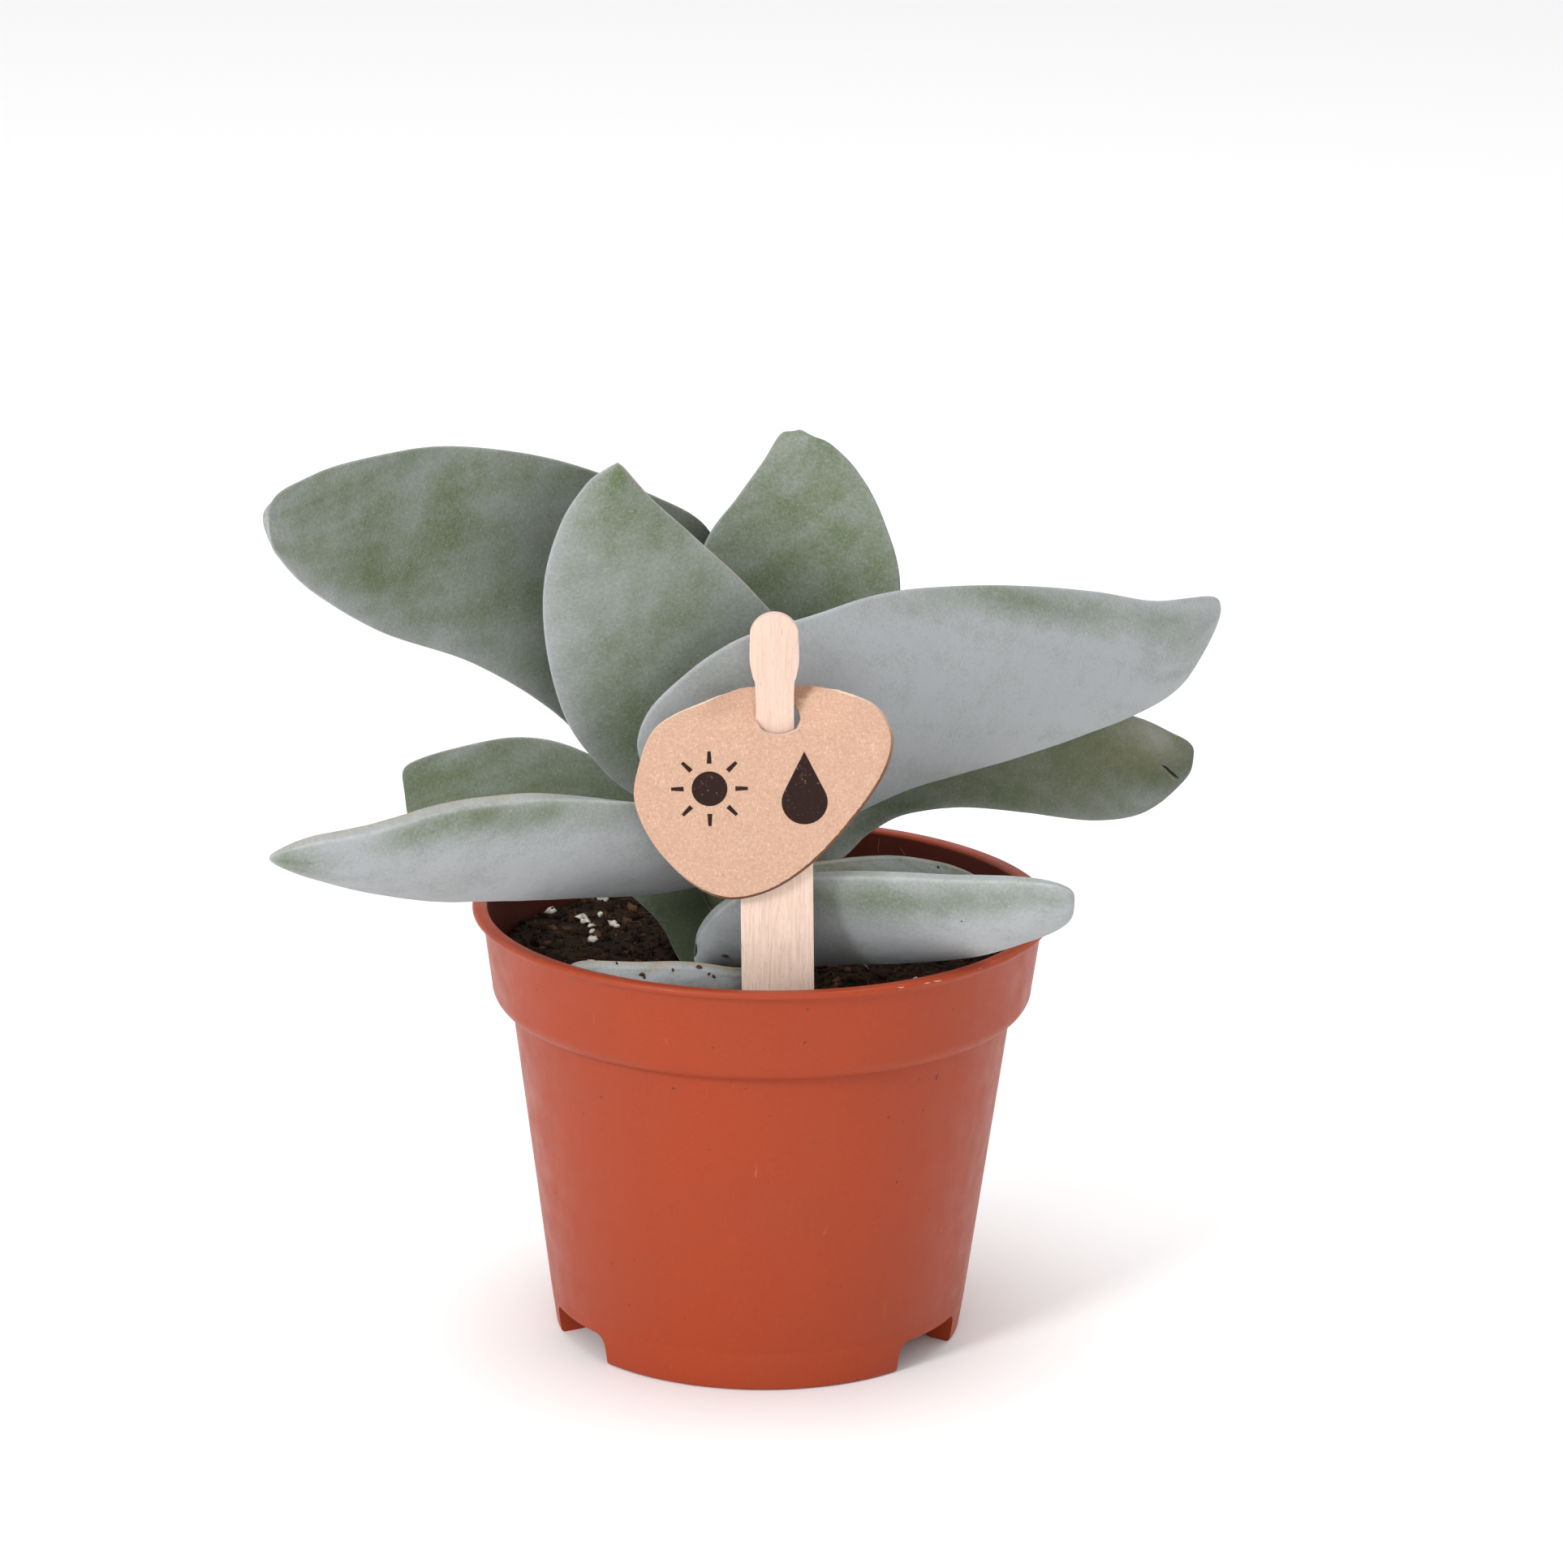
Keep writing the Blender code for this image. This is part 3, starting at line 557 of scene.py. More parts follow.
def plastic_finish():
    shell = Finish("terracotta_plastic", 0.42, Specular_IOR_Level=0.27)
    clouds = shell.mottle(22)
    colour = shell.over(POT_ORANGE, POT_DULL, clouds, 0.35, 0.7, 0.5)
    colour = shell.over(colour, POT_DEEP, shell.mottle(0.7), 0.3, 0.7, 0.22)
    colour = shell.over(colour, POT_SCUFF, shell.mottle(1.4, 4.0, stretch=(1, 1, 0.25)), 0.70, 0.82, 0.35)
    colour = shell.over(colour, PEAT_STAIN, shell.mottle(1.1, 1.0), 0.775, 0.80, 0.8)
    # Painted shade: the inner wall is mixed towards a near-black brown, for its shade and some dust.
    shade_and_dust = shell.combine("MULTIPLY", shell.reading("inside"), shell.rescale(clouds, 0.35, 0.7, 0.97, 0.90))
    colour = shell.mix(shade_and_dust, colour, INSIDE_SHADE_AND_DUST)
    roughness = shell.rescale(shell.mottle(5), 0.3, 0.7, 0.36, 0.50)
    shell.tree.links.new(roughness, shell.shader.inputs["Roughness"])
    return shell.painted(colour, (shell.mottle(0.9), 0.02), (shell.mottle(9), 0.05))


belongs(pot, "pot_shell", "pot", finish=plastic_finish())

# %% [markdown]
# ## The soil
# Peat compost is a heap of crumbs, fibres and white perlite, and no bump map gives its broken outline.
# The body of the soil is turned like the pot and its top is heaved by noise. Geometry Nodes then
# scatter crumbs over it: points on the upward faces, one of a few lumps on each, at a random turn and
# size.

# %% Soil sizes, in millimetres
GAP = 0.3
SOIL_TOP = 69.4
SOIL_RINGS = 56
SOIL_STEPS = 150
SOIL_HEAVE = ((9.0, 0.8), (3.4, 0.55), (1.3, 0.3))
STEM_CENTRE = Vector((-9.0, 2.0, 0.0))


def heave(place):
    """How far the soil's top rises at a place, in millimetres, as noise of several sizes."""
    return sum(depth * noise.noise(place / size) for size, depth in SOIL_HEAVE)


def make_soil():
    edge = COLLAR_LOW_RADIUS - WALL - GAP
    profile = [(edge * ring / SOIL_RINGS, SOIL_TOP) for ring in range(SOIL_RINGS + 1)]
    wall = inner_wall(GAP)
    wall[0] = (wall[0][0], FLOOR_TOP + GAP)
    soil = flattened(turned("soil_body", profile + wall[::-1] + [(0, FLOOR_TOP + GAP)], SOIL_STEPS))
    for vertex in soil.data.vertices:
        if vertex.co.z > (SOIL_TOP - 0.1) * MM:
            vertex.co.z += heave(vertex.co / MM) * MM
    soil.data.shade_smooth()
    return soil


soil = make_soil()

# %% Peat, whose crumbs each carry their own tint
PEAT_BLACK = (0.0045, 0.0030, 0.0024)
PEAT_BROWN = (0.030, 0.0155, 0.0085)
PEAT_TAN = (0.095, 0.048, 0.022)


def peat_finish():
    crumb = Finish("peat", 1.0, Specular_IOR_Level=0.12)
    colour = crumb.over(PEAT_BLACK, PEAT_BROWN, crumb.mottle(2.4, 5.0), 0.35, 0.65)
    tint = crumb.rescale(crumb.reading("tint"), 0.66, 1.0)
    colour = crumb.mix(crumb.combine("POWER", tint, 2.5), colour, PEAT_TAN)
    return crumb.painted(colour, (crumb.mottle(0.6, 5.0), 0.12))


peat = peat_finish()
belongs(soil, "peat", "soil", finish=peat)

# %% Lumps for the crumbs
LUMP_ROUGHNESS = 0.9
LUMP_NOISE_SCALE = 1.7


def lump_collection(name, kinds, subdivisions):
    """Lumps of several shapes, a millimetre in radius, in a collection that isn't part of the scene."""
    home = bpy.data.collections.new(name)
    for kind in range(kinds):
        seed = kind * 3.7 + subdivisions
        work = bmesh.new()
        bmesh.ops.create_icosphere(work, subdivisions=subdivisions, radius=MM)
        for vertex in work.verts:
            sample = vertex.co.normalized() * LUMP_NOISE_SCALE + Vector((seed, seed * 2, seed * 3))
            vertex.co *= 1 + LUMP_ROUGHNESS * noise.noise(sample)
        made = piece(f"{name}_{kind}", plain_mesh(name, work))
        made.scale = (1, 0.55 + 0.15 * kind, 0.5 + 0.1 * kind)
        scene.collection.objects.unlink(made)
        home.objects.link(made)
    return home


# %% A tree that scatters lumps over a surface
UPWARD = 0.6
SMALL_ONES_PREVAIL = 3.0


def scatter_tree(name, lumps, finish, seed):
    """Geometry Nodes: points on the upward faces, a lump on each, realised and given a material."""
    tree = bpy.data.node_groups.new(name, "GeometryNodeTree")
    tree.is_modifier = True
    tree.interface.new_socket("Geometry", in_out="INPUT", socket_type="NodeSocketGeometry")
    for size in ("Per square metre", "Smallest", "Largest"):
        tree.interface.new_socket(size, in_out="INPUT", socket_type="NodeSocketFloat")
    tree.interface.new_socket("Geometry", in_out="OUTPUT", socket_type="NodeSocketGeometry")

    def share(number):
        """A random number from 0 to 1 for each lump."""
        return add_node(tree, "FunctionNodeRandomValue", {2: 0.0, 3: 1.0, 8: seed + number}).outputs[1]

    start = add_node(tree, "NodeGroupInput").outputs
    normal = add_node(tree, "GeometryNodeInputNormal").outputs["Normal"]
    rise = add_node(tree, "ShaderNodeSeparateXYZ", {0: normal}).outputs["Z"]
    upward = add_node(tree, "FunctionNodeCompare", {0: rise, 1: UPWARD}, operation="GREATER_THAN").outputs[0]
    points = add_node(tree, "GeometryNodeDistributePointsOnFaces", {
        "Mesh": start["Geometry"], "Selection": upward, "Density": start["Per square metre"], "Seed": seed,
    }).outputs["Points"]
    shapes = add_node(tree, "GeometryNodeCollectionInfo", {
        "Collection": lumps, "Separate Children": True, "Reset Children": False,
    }).outputs[0]
    spin = add_node(tree, "FunctionNodeRandomValue", {
        0: (0, 0, 0), 1: (math.tau, math.tau, math.tau), 8: seed + 1,
    }, data_type="FLOAT_VECTOR").outputs[0]
    power = {0: share(2), 1: SMALL_ONES_PREVAIL}
    skewed = add_node(tree, "ShaderNodeMath", power, operation="POWER").outputs[0]
    size = add_node(tree, "ShaderNodeMapRange", {
        "Value": skewed, "To Min": start["Smallest"], "To Max": start["Largest"],
    }).outputs["Result"]
    placed = add_node(tree, "GeometryNodeInstanceOnPoints", {
        "Points": points, "Instance": shapes, "Pick Instance": True, "Rotation": spin, "Scale": size,
    }).outputs["Instances"]
    tinted = add_node(tree, "GeometryNodeStoreNamedAttribute", {
        "Geometry": placed, "Name": "tint", "Value": share(3),
    }, data_type="FLOAT", domain="INSTANCE").outputs["Geometry"]
    solid = add_node(tree, "GeometryNodeRealizeInstances", {"Geometry": tinted}).outputs["Geometry"]
    coated = add_node(tree, "GeometryNodeSetMaterial", {"Geometry": solid, "Material": finish})
    add_node(tree, "NodeGroupOutput", {"Geometry": coated.outputs["Geometry"]})
    return tree


def scattered(name, ground, tree, sizes):
    """A plain mesh of what the tree scatters over a copy of the ground."""
    made = piece(name, ground.data.copy())
    change = made.modifiers.new("scatter", "NODES")
    change.node_group = tree
    for socket in tree.interface.items_tree:
        if socket.in_out == "INPUT" and socket.name in sizes:
            change[socket.identifier] = sizes[socket.name]
    return flattened(made)


# %% Crumbs, and finer grains between them
SCATTERINGS = {
    "soil_crumbs": (5, 2, 4, {"Per square metre": 230000.0, "Smallest": 0.25, "Largest": 1.3}),
    "soil_grains": (4, 1, 9, {"Per square metre": 900000.0, "Smallest": 0.12, "Largest": 0.5}),
}
for name, (kinds, subdivisions, seed, sizes) in SCATTERINGS.items():
    lumps = lump_collection(f"{name}_lump", kinds, subdivisions)
    belongs(scattered(name, soil, scatter_tree(name, lumps, peat, seed), sizes), "peat")
    for shape in list(lumps.objects):
        bpy.data.objects.remove(shape)

# %% [markdown]
# ## Perlite, bark and root fibres
# White perlite shards and pale fibres are what tells compost from plain earth. The few that the
# photograph shows are seated by their pixel: a line of sight through the pixel meets the soil's mesh,
# and the shard sits where it does. The rest lie at seeded random places.


# %% Seating a small thing where a pixel's line of sight meets a mesh
def surface_of(made):
    """A tree for casting lines at an object's mesh."""
    mesh = made.data
    points = [vertex.co for vertex in mesh.vertices]
    return BVHTree.FromPolygons(points, [tuple(face.vertices) for face in mesh.polygons])


def seat(surface, pixel):
    """The place and the outward normal where the pixel's line of sight meets a surface."""
    place, normal, _, _ = surface.ray_cast(camera_place, sight_line(pixel))
    if place is None:
        raise ValueError(f"nothing lies behind pixel {pixel}")
    return place, normal if normal.dot(sight_line(pixel)) < 0 else -normal


# %% Strewing lumps on their seats
STREWN_ROUGHNESS = 0.8
STREWN_NOISE_SCALE = 1.4
STREWN_LIFT = 0.3


def strew(name, seats, sizes, flatness, seed):
    """Small lumps, one on each seat of (place, normal), joined in one mesh; sizes is a range or a list."""
    draw = random.Random(seed)
    work = bmesh.new()
    for index, (place, normal) in enumerate(seats):
        radius = (sizes[index] if isinstance(sizes, list) else draw.uniform(*sizes)) * MM
        spun = Matrix.Rotation(draw.uniform(0, math.tau), 3, "Z")
        turn = normal.to_track_quat("Z", "Y").to_matrix() @ spun
        shift = Vector((draw.uniform(0, 50), draw.uniform(0, 50), draw.uniform(0, 50)))
        for vertex in bmesh.ops.create_icosphere(work, subdivisions=2, radius=1.0)["verts"]:
            local = vertex.co * (1 + STREWN_ROUGHNESS * noise.noise(vertex.co * STREWN_NOISE_SCALE + shift))
            local.y *= draw.uniform(0.62, 0.7)
            local.z *= flatness
            vertex.co = place + turn @ (local * radius) + normal * radius * flatness * STREWN_LIFT
    return piece(name, plain_mesh(name, work))


soil_surface = surface_of(soil)


def soil_seats(count, inner, outer, seed):
    """Random seats on the soil between two radii."""
    draw = random.Random(seed)
    seats = []
    for _ in range(count):
        angle = draw.uniform(0, math.tau)
        radius = math.sqrt(draw.uniform(inner * inner, outer * outer)) * MM
        above = Vector((radius * math.cos(angle), radius * math.sin(angle), POT_HEIGHT * MM))
        place, normal, _, _ = soil_surface.ray_cast(above, Vector((0, 0, -1)))
        seats.append((place, normal))
    return seats


# %% Perlite and bark chips
PERLITE_PIXELS = ((716, 1132), (722, 1137), (729, 1142), (730, 1150), (731, 1159), (755, 1140), (760, 1143))
PERLITE_WHITE = (0.66, 0.63, 0.58)
PERLITE_DUST = (0.34, 0.27, 0.2)
BARK_PIXELS = ((742, 1102), (735, 1152))
BARK_TAN = (0.105, 0.052, 0.025)
BARK_DARK = (0.026, 0.012, 0.007)
SOIL_INNER = 8.0
SOIL_OUTER = 46.0


def perlite_finish():
    shard = Finish("perlite", 0.85)
    colour = shard.over(PERLITE_WHITE, PERLITE_DUST, shard.mottle(0.8, 4.0), 0.35, 0.7)
    return shard.painted(colour, (shard.mottle(0.4), 0.1))


def bark_finish():
    chip = Finish("bark", 0.95, Specular_IOR_Level=0.15)
    grain = chip.mottle(0.5, 4.0, stretch=(1, 1, 0.3))
    return chip.painted(chip.over(BARK_TAN, BARK_DARK, grain, 0.3, 0.7), (grain, 0.08))


perlite_seats = [seat(soil_surface, pixel) for pixel in PERLITE_PIXELS]
perlite_seats += soil_seats(26, SOIL_INNER, SOIL_OUTER, 31)
belongs(strew("perlite", perlite_seats, (0.7, 1.5), 0.6, 5), "peat", finish=perlite_finish())

bark = bark_finish()
chip_seats = [seat(soil_surface, pixel) for pixel in BARK_PIXELS]
chip_seats += soil_seats(60, SOIL_INNER, SOIL_OUTER, 77)
belongs(strew("bark_chips", chip_seats, (0.7, 1.6), 0.35, 12), "peat", finish=bark)

# %% Root fibres, in millimetres
FIBRE_RADIUS = 0.11
FIBRE_STEPS = (4, 9)
FIBRE_STEP = (0.5, 0.9)
FIBRE_BEND = 0.7
FIBRE_LIFT = (0.1, 0.7)
FIBRE_THICKNESS = (0.6, 1.3)


def fibre_net(name, count, seed):
    """Thin root fibres that wander over the soil, as one curve object made a mesh."""
    draw = random.Random(seed)
    curve = bpy.data.curves.new(name, "CURVE")
    curve.dimensions = "3D"
    curve.bevel_depth = FIBRE_RADIUS * MM
    curve.bevel_resolution = 0
    for place, _ in soil_seats(count, SOIL_INNER - 2, SOIL_OUTER - 4, seed):
        heading = draw.uniform(0, math.tau)
        spline = curve.splines.new("POLY")
        steps = draw.randint(*FIBRE_STEPS)
        spline.points.add(steps)
        for point in spline.points:
            point.co = (*place, 1)
            point.radius = draw.uniform(*FIBRE_THICKNESS)
            heading += draw.uniform(-FIBRE_BEND, FIBRE_BEND)
            step = Vector((math.cos(heading), math.sin(heading), 0)) * draw.uniform(*FIBRE_STEP) * MM
            ground = soil_surface.ray_cast(place + step + Vector((0, 0, 3 * MM)), Vector((0, 0, -1)))[0]
            place = (ground or place) + Vector((0, 0, draw.uniform(*FIBRE_LIFT) * MM))
    return flattened(piece(name, curve))


belongs(fibre_net("root_fibres", 170, 21), "peat", finish=bark)

# %% [markdown]
# ## The stem
# Between its leaves the stem is a short, fleshy green column, ringed where each pair of leaves sits. It
# is turned like the pot, and noise takes the lathe's regularity away.

# %% Stem sizes, in millimetres
STEM_RADIUS = 6.0
STEM_TAPER = 0.86
STEM_FLARE = 0.10
STEM_CAP = 3.0
STEM_TOP = 108.0
STEM_BOTTOM = 44.0
STEM_ROOT_TAPER = 0.7
STEM_STEPS = 48
STEM_RINGS = 60
STEM_NODE_SPACING = 9.0
STEM_NODE_SWELL = 0.2
STEM_WAVE_SIZE = 3.5
STEM_WAVE_DEPTH = 0.25
STEM_GREEN = (0.10, 0.135, 0.055)
STEM_PALE = (0.23, 0.26, 0.17)
STEM_SCAR = (0.16, 0.10, 0.05)


def make_stem():
    neck = STEM_TOP - STEM_CAP
    cap = arc((0, neck), STEM_CAP, 78, 30, 3)
    profile = [(0, STEM_TOP)] + [(radius * STEM_RADIUS * STEM_TAPER / STEM_CAP, z) for radius, z in cap]
    for ring in range(STEM_RINGS + 1):
        height = neck - (neck - SOIL_TOP) * ring / STEM_RINGS
        phase = math.cos(2 * math.pi * (height - SOIL_TOP) / STEM_NODE_SPACING)
        share = STEM_TAPER + STEM_FLARE * ring / STEM_RINGS
        profile.append((STEM_RADIUS * share + STEM_NODE_SWELL * phase, height))
    profile += [
        (STEM_RADIUS * (STEM_TAPER + STEM_FLARE), SOIL_TOP - 6),
        (STEM_RADIUS * STEM_ROOT_TAPER, STEM_BOTTOM + 2),
        (0, STEM_BOTTOM),
    ]
    stem = flattened(turned("stem_column", profile, STEM_STEPS))
    for vertex in stem.data.vertices:
        outwards = Vector((vertex.co.x, vertex.co.y, 0)).normalized()
        vertex.co += outwards * noise.noise(vertex.co / (STEM_WAVE_SIZE * MM)) * STEM_WAVE_DEPTH * MM
        vertex.co += STEM_CENTRE * MM
    stem.data.shade_smooth()
    return stem


def stem_finish():
    skin = Finish("stem_skin", 0.62)
    colour = skin.over(STEM_GREEN, STEM_PALE, skin.mottle(3.2, 4.0), 0.3, 0.7)
    scars = skin.mottle(2.0, stretch=(0.35, 0.35, 1.6))
    colour = skin.over(colour, STEM_SCAR, scars, 0.58, 0.72, 0.7)
    return skin.painted(colour, (skin.mottle(0.7), 0.08))


belongs(make_stem(), "stem_skin", "stem", finish=stem_finish())

# %% [markdown]
# ## The leaves
# Each leaf is a fleshy blade with a blunt margin, and no two are alike. A blade is described the way a
# boatbuilder lofts a hull: pairs of points on its upper and its lower margin, from base to tip, with a
# smooth curve through each row and a section swept between them. The section is a slim lens with a
# squared margin, cupped to one side.

# %% Margins of each leaf, from base to tip: upper point, lower point, in millimetres
LEAVES = {
    "leaf_upper_left": (1, 0.12, [
        ((-7, 10, 102), (-14, 6, 90)),
        ((-6, 17, 130), (-22, 8, 97)),
        ((-10.5, 17, 144.7), (-29.5, 5, 105)),
        ((-21, 9, 153.5), (-38.5, -4, 117)),
        ((-38, -6, 163.5), (-52, -15, 128.5)),
        ((-56.5, -22, 169.5), (-67, -30, 138)),
        ((-71.5, -40, 171), (-78, -46, 149.5)),
        ((-81, -53, 170), (-83.5, -55, 158.5)),
        ((-84, -59, 169.5), (-84.5, -59, 163)),
    ]),
    "leaf_centre_left": (-1, 0.04, [
        ((-21, -6.3, 98), (-5, -4.1, 103)),
        ((-28.5, -9, 107), (-2, -7, 108)),
        ((-35, -14, 117.5), (4.5, -9, 118)),
        ((-38.5, -19, 131.5), (4.5, -11, 131.5)),
        ((-39, -22, 145), (-2.5, -14, 142)),
        ((-36, -24, 156.5), (-13, -18, 153)),
        ((-31.5, -25, 164), (-20.5, -22, 161)),
        ((-27.5, -26, 168), (-24.5, -26, 167.5)),
    ]),
    "leaf_centre_right": (-1, 0.12, [
        ((-9, 9, 104), (1, 4, 104)),
        ((-13.5, 8, 117.5), (10, 8, 110)),
        ((-14.5, 9, 131.5), (22, 14, 122.5)),
        ((-11.5, 11, 144), (24, 20, 134)),
        ((-6, 17, 150.5), (21, 26, 144)),
        ((-1.5, 25, 155), (16.5, 31, 151.5)),
        ((2, 32, 159), (11, 33, 157)),
        ((4.5, 33, 160), (7, 33, 159.5)),
    ]),
    "leaf_upper_right": (1, 0.14, [
        ((-22, -19, 110), (-17.5, -12, 101)),
        ((-22.5, -24, 118), (-10.5, -4.8, 93)),
        ((-18.5, -28, 127), (1.5, -5.5, 93)),
        ((-6.5, -29, 137), (11.5, -4, 96.5)),
        ((8, -22, 140.5), (24, 3, 100.5)),
        ((22.5, -8, 141), (38, 13, 102)),
        ((40, 8, 138), (52.5, 24, 103.5)),
        ((58.5, 27, 132), (66.5, 36, 105.5)),
        ((73, 41, 126.5), (76.5, 46, 108.5)),
        ((84.5, 54, 126.5), (85, 54, 117)),
    ]),
    "leaf_lower_right": (-1, 0.10, [
        ((-4, 6.5, 93), (-4, 4.5, 84)),
        ((10, 8, 101), (11.7, 4, 86)),
        ((20.5, 12, 104.5), (18.4, 8, 90.5)),
        ((35, 20, 107), (25.3, 14, 93)),
        ((47.5, 30, 107.5), (35.5, 24, 91.5)),
        ((60, 42, 105.5), (48, 34, 87.5)),
        ((69.5, 50, 101.5), (61.5, 46, 82.5)),
        ((77, 57, 96.2), (71.5, 54, 82)),
        ((81.2, 59.5, 93.8), (80.6, 59.5, 87)),
    ]),
    "leaf_lower_left": (1, 0.10, [
        ((-3.5, -5.2, 73), (-11.5, -7.5, 66)),
        ((-8.5, -5.1, 79), (-15.2, -6, 71.5)),
        ((-15, -2.5, 91), (-18.6, -4.5, 77.5)),
        ((-21, -0.5, 101), (-26, -2, 83.5)),
        ((-33.5, 3.5, 107.7), (-35.5, 2, 87)),
        ((-44.5, 14, 106.5), (-47, 12, 88)),
        ((-57, 22, 101.8), (-57.5, 21, 88)),
        ((-66.8, 27, 97.2), (-65.4, 27, 86)),
    ]),
    "leaf_front_left": (-1, 0.16, [
        ((-2.5, -24, 103.5), (2.5, -6, 86)),
        ((-11.5, -27, 106.5), (-7.5, -4.7, 86)),
        ((-21.5, -31, 108.5), (-20.5, -14, 86.5)),
        ((-34, -36, 110.5), (-34.5, -22, 88)),
        ((-45.5, -41, 111.5), (-47, -30, 90)),
        ((-56.5, -46, 111), (-58, -38, 92)),
        ((-68, -51, 108.7), (-69, -46, 96)),
        ((-77.5, -55, 108), (-77.5, -52, 100)),
        ((-84.5, -57, 106.5), (-85, -57, 103.5)),
    ]),
    "leaf_front_right": (1, 0.16, [
        ((-11.6, -18, 81), (-12.4, -15.5, 71)),
        ((-7.2, -21.5, 86.3), (-5.5, -9.5, 70.5)),
        ((-1, -26.5, 91.8), (3, -12, 72)),
        ((10, -31, 95.2), (12, -19, 75.2)),
        ((24, -36, 96.7), (24.5, -26, 77.9)),
        ((36.5, -40, 97.8), (37.5, -32, 81.2)),
        ((47, -43, 98.3), (47.5, -37.5, 86)),
        ((54.3, -44, 97.6), (54.3, -41, 90)),
    ]),
    "leaf_inner_right": (1, 0.10, [
        ((-2.3, 0, 79), (-3.3, 1, 73)),
        ((3, -2, 86.5), (3, 0, 79.5)),
        ((13, 2, 87.5), (13.5, 4, 79)),
        ((23.5, 8, 86.5), (23.5, 10, 78)),
        ((32.5, 14, 83.5), (32.5, 16, 77)),
        ((39.5, 18, 80.5), (39.5, 20, 77)),
    ]),
    "leaf_soil_front": (-1, 0.12, [
        ((0, -25, 76.5), (-2, -20, 71)),
        ((-3.5, -31, 77.4), (-6.5, -27, 70.8)),
        ((-12.5, -34, 79.4), (-14.5, -31, 70.8)),
        ((-22.5, -35, 79.6), (-24, -33, 70.8)),
        ((-31.5, -33, 79), (-31, -31, 71.5)),
        ((-35, -30, 77.8), (-35, -28.5, 73)),
    ]),
}
